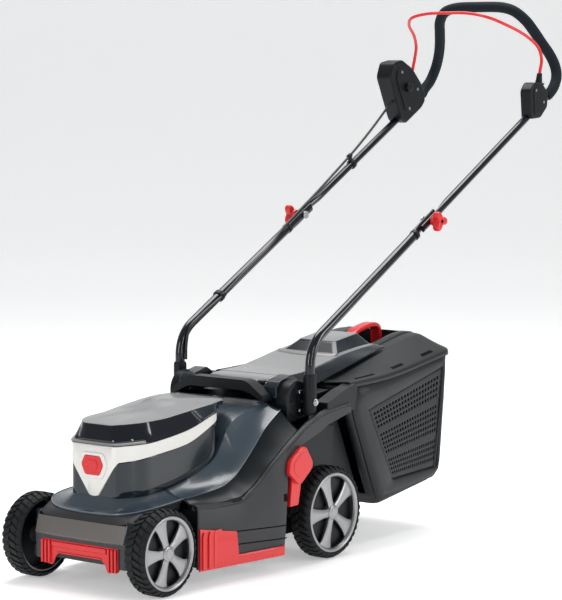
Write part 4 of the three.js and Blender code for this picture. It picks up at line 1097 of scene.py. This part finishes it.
for name, side in SIDES:
    shape = sweep([(x - 4.2 * (1 - flat_lower(i)[0]) / 0.55, y, z)
                   for i, (x, y, z) in enumerate(lower_line)],
                  LOWER_R, 28, flat_lower)
    piece(f"lower tube {name}", *on_side(shape, side), "tube_paint", "lower_handle",
          [f"lower_tube_{name}"], smooth=50)
    profile = round_loop([(266, 12.6), (336, 12.2), (340, 11), (340, 9.4), (300, 9.4), (266, 2)],
                      1, 2)
    rings = [[(LOWER_X + r * math.cos(a), PIVOT_Y + r * math.sin(a), z) for a in
              turn(40)] for z, r in profile]
    piece(f"sleeve {name}", *on_side(grid(rings + [rings[0]], closed=True), side), "black_plastic",
          "lower_handle", [f"handle_sleeve_{name}"], smooth=40)
    bolt = merge(bar_x(4, 118, 167, PIVOT_Y, PIVOT_Z),
                 bar_x(6.6, 165.4, 166.8, PIVOT_Y, PIVOT_Z, 40),
                 bar_x(5.2, 166.6, 169.4, PIVOT_Y, PIVOT_Z, 6, 0.7),
                 bar_x(2.6, 169, 171, PIVOT_Y, PIVOT_Z, 24, 0.6))
    piece(f"pivot bolt {name}", *on_side(bolt, side), "steel", "lower_handle", [f"pivot_bolt_{name}"],
          bevel=0.4, smooth=30)
    knob_bolt = merge(bar_x(3.2, 142, 178, KNOB_Y, KNOB_Z, 24),
                      bar_x(8, 139.8, 143.4, KNOB_Y, KNOB_Z, 40, 0.0))
    piece(f"knob bolt {name}", *on_side(knob_bolt, side), "steel", "lower_handle", [f"knob_bolt_{name}"],
          bevel=0.6, smooth=30)
    lobes = []
    for x, shrink in ((172, 0.9), (173.2, 0.97), (175, 1), (182, 1), (184.4, 0.95), (185.3, 0.84),
                      (185.6, 0.5),
                      (185.2, 0.22)):
        lobes.append([(x, KNOB_Y + r * math.cos(a), KNOB_Z + r * math.sin(a)) for a, r in
                      [(2 * math.pi * k / 96, shrink * (15 + 6 * math.cos(3 * 2 * math.pi * k / 96)))
                       for k in range(96)]])
    knob = merge(capped(lobes),
                 lathe_x(round_loop([(163.4, 0.3), (163.4, 9.5), (172, 10.5), (173, 0.3)], 0.8, 2),
                         0, KNOB_Y, KNOB_Z, 40))
    piece(f"star knob {name}", *on_side(knob, side), "red_plastic", f"star_knob_{name}",
          [f"star_knob_{name}"], smooth=45)
    eye = on_side(bar_x(3.4, 184.9, 186.0, KNOB_Y, KNOB_Z, 24), side)
    piece(f"knob eye {name}", *eye, "black_plastic", f"star_knob_{name}", mats=[dark_slit])


def upper_shift(i):
    return 2.6 * (1 - flat_upper(i)[0]) / 0.45


shape = sweep([(x + math.copysign(upper_shift(i), x) if upper_shift(i) else x, y, z)
               for i, (x, y, z) in enumerate(upper_line)], UPPER_R, 28, flat_upper)
piece("upper tube", *shape, "tube_paint", "upper_handle", ["upper_tube"], smooth=50)
grip_line = through(both(GRIP, (0, 766, 1017)), 8)
grip_last = len(grip_line) - 1
shape = sweep(grip_line, lambda i: FOAM_R - 1.6 * (i in (0, grip_last)) - 0.5 * (i in (1, grip_last - 1)), 28)
piece("foam grip", *shape, "foam", "upper_handle", ["foam_grip"], smooth=50)

# ---------- switch boxes, bail, button ----------
near_hull = round_loop([(698, 846), (712, 862), (742, 862), (766, 842), (764, 812),
                        (738, 790), (704, 788)], 6, 4)
piece("bail box", *prism_x(near_hull, 143.4, 170.6), "black_plastic", "upper_handle", ["bail_box"], bevel=3.5,
      segments=4)
far_hull = round_loop([(640, 872), (652, 902), (684, 908), (722, 890), (752, 862), (768, 842), (770, 820),
                    (756, 806),
                    (698, 774), (684, 782)], 7, 4)
piece("switch box", *prism_x(far_hull, -173.6, -134.4), "black_plastic", "upper_handle", ["switch_box"],
      bevel=4.5, segments=4)
raised = round_loop([(660, 868), (664, 888), (686, 894), (716, 880), (744, 852), (744, 822), (722, 800),
                  (694, 800)],
                 8, 4)
piece("switch box face", *prism_x(raised, -134.8, -132.6), "black_plastic", "upper_handle", bevel=1.0,
      segments=3)
piece("bail box face", *prism_x(round_loop([(708, 846), (716, 854), (738, 854), (756, 838), (755, 816),
                                            (736, 799),
                                         (712, 797)], 5, 4), 170.2, 172), "black_plastic",
      "upper_handle", bevel=0.8, segments=3)
screws = [bar_x(3.2, -132.2 - 0.4, -131.6, y, z, 20) for y, z in ((678, 882), (736, 846), (706, 806))]
screws += [bar_x(3.0, 171.8, 172.6, y, z, 20) for y, z in ((716, 846), (746, 822))]
piece("box screws", *merge(*screws), "steel", "upper_handle", smooth=30)
button = lathe_x(round_loop([(-139, 0.3), (-139, 9.8), (-126, 9.8), (-124, 8.2), (-123.4, 0.3)], 0.8, 2),
                 0, 700, 850, 40)
piece("lock button", *button, "black_plastic", "lock_button", ["lock_button"], smooth=40)
# The bail wire. Several points are rounded results of measuring with the fitted camera.
BAIL = [(157, 748, 858), (157.5, 753, 884), (157, 760, 908), (151, 757, 932), (138, 731, 956),
        (117, 680, 980),
        (92, 654, 994), (50, 648, 1002)]
wire = sweep(through(both([(157, 746, 852)] + BAIL, (0, 647, 1003)), 8), 3.3, 20)
eyes = [on_side(bar_x(9, 153.5, 160.5, 746, 850), side) for _, side in SIDES]
piece("bail wire", *merge(wire, *eyes), "red_plastic", "bail", ["bail"], smooth=45)
for name, side in SIDES:
    rows = [[(157 + r * math.cos(a), 749 + 0.16 * (h - 858) + r * math.sin(a), h) for a in
             turn(28)] for h, r in ((856, 9.5), (858, 12), (860, 12), (861, 7.5),
                                                                     (872, 6), (880, 5.4), (881, 3.6))]
    piece(f"bail boot {name}", *on_side(capped(rows), side), "black_plastic", "bail", smooth=40)
finish_cad(["bail_pin_left", "bail_pin_right"], "steel", 0.3)

# ---------- cable and its clips ----------
# The cable's route, the same points as in CAD. Some were measured with the fitted camera.
ROUTE = [(-152, 665, 818), (-154, 600, 766), (-155, 534, 719), (-155, 478, 684), (-153, 405, 641),
         (-150, 335, 603), (-149, 289, 576), (-141, 233, 543), (-140, 154, 499), (-139, 81, 456),
         (-139, 22, 427),
         (-139.5, -16, 403), (-140.5, -24, 376), (-141, -25, 345)]
cable_line = through(ROUTE, 14)
mesh_cable = sweep(cable_line, 2.6, 14)
cable = bpy.data.meshes.new("cable_run")
cable.from_pydata([place(v) for v in mesh_cable[0]], [], mesh_cable[1])
cable.materials.append(look["cable_sheath"])
cable.shade_smooth()
cable_obj = bpy.data.objects.new("cable_run", cable)
bpy.context.scene.collection.objects.link(cable_obj)
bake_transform(cable_obj)
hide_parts("control_cable")


def clip(distance, x_tube, tube_r, body, name, stands_for=()):
    """A strap round the tube with an eye that holds the cable."""
    y, z = beyond(distance)
    along_dir = Vector((0, math.cos(SLOPE), math.sin(SLOPE)))
    normal = Vector((0, -math.sin(SLOPE), math.cos(SLOPE)))
    side_dir = Vector((1, 0, 0))
    centre = Vector((x_tube, y, z))
    nearest = min((Vector(p) for p in cable_line), key=lambda p: abs((p - centre).dot(along_dir)))
    shapes = []
    for middle, r, n in ((centre, tube_r + 2.6, 40), (nearest, 5.0, 24)):
        rows = []
        for d, rr in ((-5, r - 0.6), (-4.2, r), (4.2, r), (5, r - 0.6)):
            rows.append([tuple(middle + along_dir * d + (side_dir * math.cos(a) + normal * math.sin(a)) * rr)
                         for a in turn(n)])
        shapes.append(capped(rows))
    gap = nearest - centre
    gap -= along_dir * gap.dot(along_dir)
    across = gap.cross(along_dir).normalized() * 3
    rows = [[tuple(centre + gap * t + across * s + along_dir * d)
             for s, d in ((-1, -4), (1, -4), (1, 4), (-1, 4))]
            for t in (0.2, 1.0)]
    shapes.append(capped(rows))
    piece(name, *merge(*shapes), "black_plastic", body, stands_for, bevel=0.6, smooth=40)


clip(200, -UPPER_X, UPPER_R, "upper_handle", "cable clip upper", ["cable_clip_upper"])
clip(-300, -LOWER_X, LOWER_R, "lower_handle", "cable clip lower")
along_dir = Vector((0, math.cos(SLOPE), math.sin(SLOPE)))
normal = Vector((0, -math.sin(SLOPE), math.cos(SLOPE)))
for name, side in SIDES:
    y, z = beyond(-52)
    rows = [[tuple(Vector((LOWER_X, y, z)) + along_dir * d
                   + (Vector((1, 0, 0)) * math.cos(a) + normal * math.sin(a)) * r)
             for a in turn(36)]
            for d, r in ((-4, 9.4), (-3.4, 10.2), (3.4, 10.2), (4, 9.4))]
    piece(f"tube end cap {name}", *on_side(capped(rows), side), "black_plastic", "lower_handle", smooth=40)

# ---------- floor, light and camera ----------
ground = bpy.data.materials.new("pale floor")
ground.use_nodes = True
ground.node_tree.nodes["Principled BSDF"].inputs["Base Color"].default_value = (0.93, 0.93, 0.93, 1)
ground.node_tree.nodes["Principled BSDF"].inputs["Roughness"].default_value = 0.6
ground.node_tree.nodes["Principled BSDF"].inputs["Emission Color"].default_value = (1, 1, 1, 1)
ground.node_tree.nodes["Principled BSDF"].inputs["Emission Strength"].default_value = 0.34
floor_mesh = bpy.data.meshes.new("floor")
profile = [(-9.0, 0.0)] + [(6.0 + 3.0 * math.sin(a), 3.0 - 3.0 * math.cos(a)) for a in
                           [math.pi / 2 * k / 16 for k in range(17)]] + [(9.0, 9.0)]
direction = Vector((-0.60, 0.80, 0))
across = Vector((0.80, 0.60, 0))
rows = [[tuple(direction * d + across * s + Vector((0, 0, h))) for d, h in profile] for s in (-12, 12)]
verts, faces = grid(rows)
floor_mesh.from_pydata(verts, [], faces)
floor_mesh.materials.append(ground)
floor_mesh.shade_smooth()
floor = bpy.data.objects.new("floor", floor_mesh)
bpy.context.scene.collection.objects.link(floor)
floor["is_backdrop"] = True


def area(name, at, target, size, power):
    lamp = bpy.data.lights.new(name, "AREA")
    lamp.shape = "RECTANGLE"
    lamp.size, lamp.size_y = size
    lamp.energy = power
    obj = bpy.data.objects.new(name, lamp)
    obj.location = at
    obj.rotation_mode = "QUATERNION"
    obj.rotation_quaternion = (Vector(target) - Vector(at)).to_track_quat("-Z", "Y")
    bpy.context.scene.collection.objects.link(obj)
    return obj


area("overhead", (-0.5, 0.6, 3.0), (0, 0, 0.2), (2.6, 1.6), 92)
area("side strip", (3.2, 1.6, 1.5), (0, 0, 0.35), (0.7, 2.2), 40)
area("front strip", (-0.4, -3.6, 1.2), (0, -0.3, 0.2), (0.9, 1.6), 34)
area("edge strip", (2.6, -1.2, 1.1), (0, -0.3, 0.3), (0.25, 1.8), 16)
world = bpy.data.worlds.new("studio")
world.use_nodes = True
world.node_tree.nodes["Background"].inputs["Color"].default_value = (0.96, 0.98, 1.0, 1)
world.node_tree.nodes["Background"].inputs["Strength"].default_value = 0.36
bpy.context.scene.world = world
bpy.context.scene.view_settings.view_transform = "Standard"

AZIMUTH, ELEVATION = math.radians(37.3), math.radians(5.6)
EYE = (2810.2, -3602.8, 911.9)  # where the fitted camera stands, in the axle frame
FOCAL_MM = 148.2
back = Vector((math.sin(AZIMUTH) * math.cos(ELEVATION), -math.cos(AZIMUTH) * math.cos(ELEVATION),
               math.sin(ELEVATION)))
right = Vector((math.cos(AZIMUTH), math.sin(AZIMUTH), 0))
above = back.cross(right)
lens = bpy.data.cameras.new("camera")
lens.sensor_width = 36.0
lens.lens = FOCAL_MM
lens.clip_end = 60
camera = bpy.data.objects.new("camera", lens)
camera.matrix_world = Matrix.Translation(place(EYE)) @ Matrix(
    (right, above, back)).transposed().to_4x4()
bpy.context.scene.collection.objects.link(camera)
bpy.context.scene.camera = camera

low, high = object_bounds()
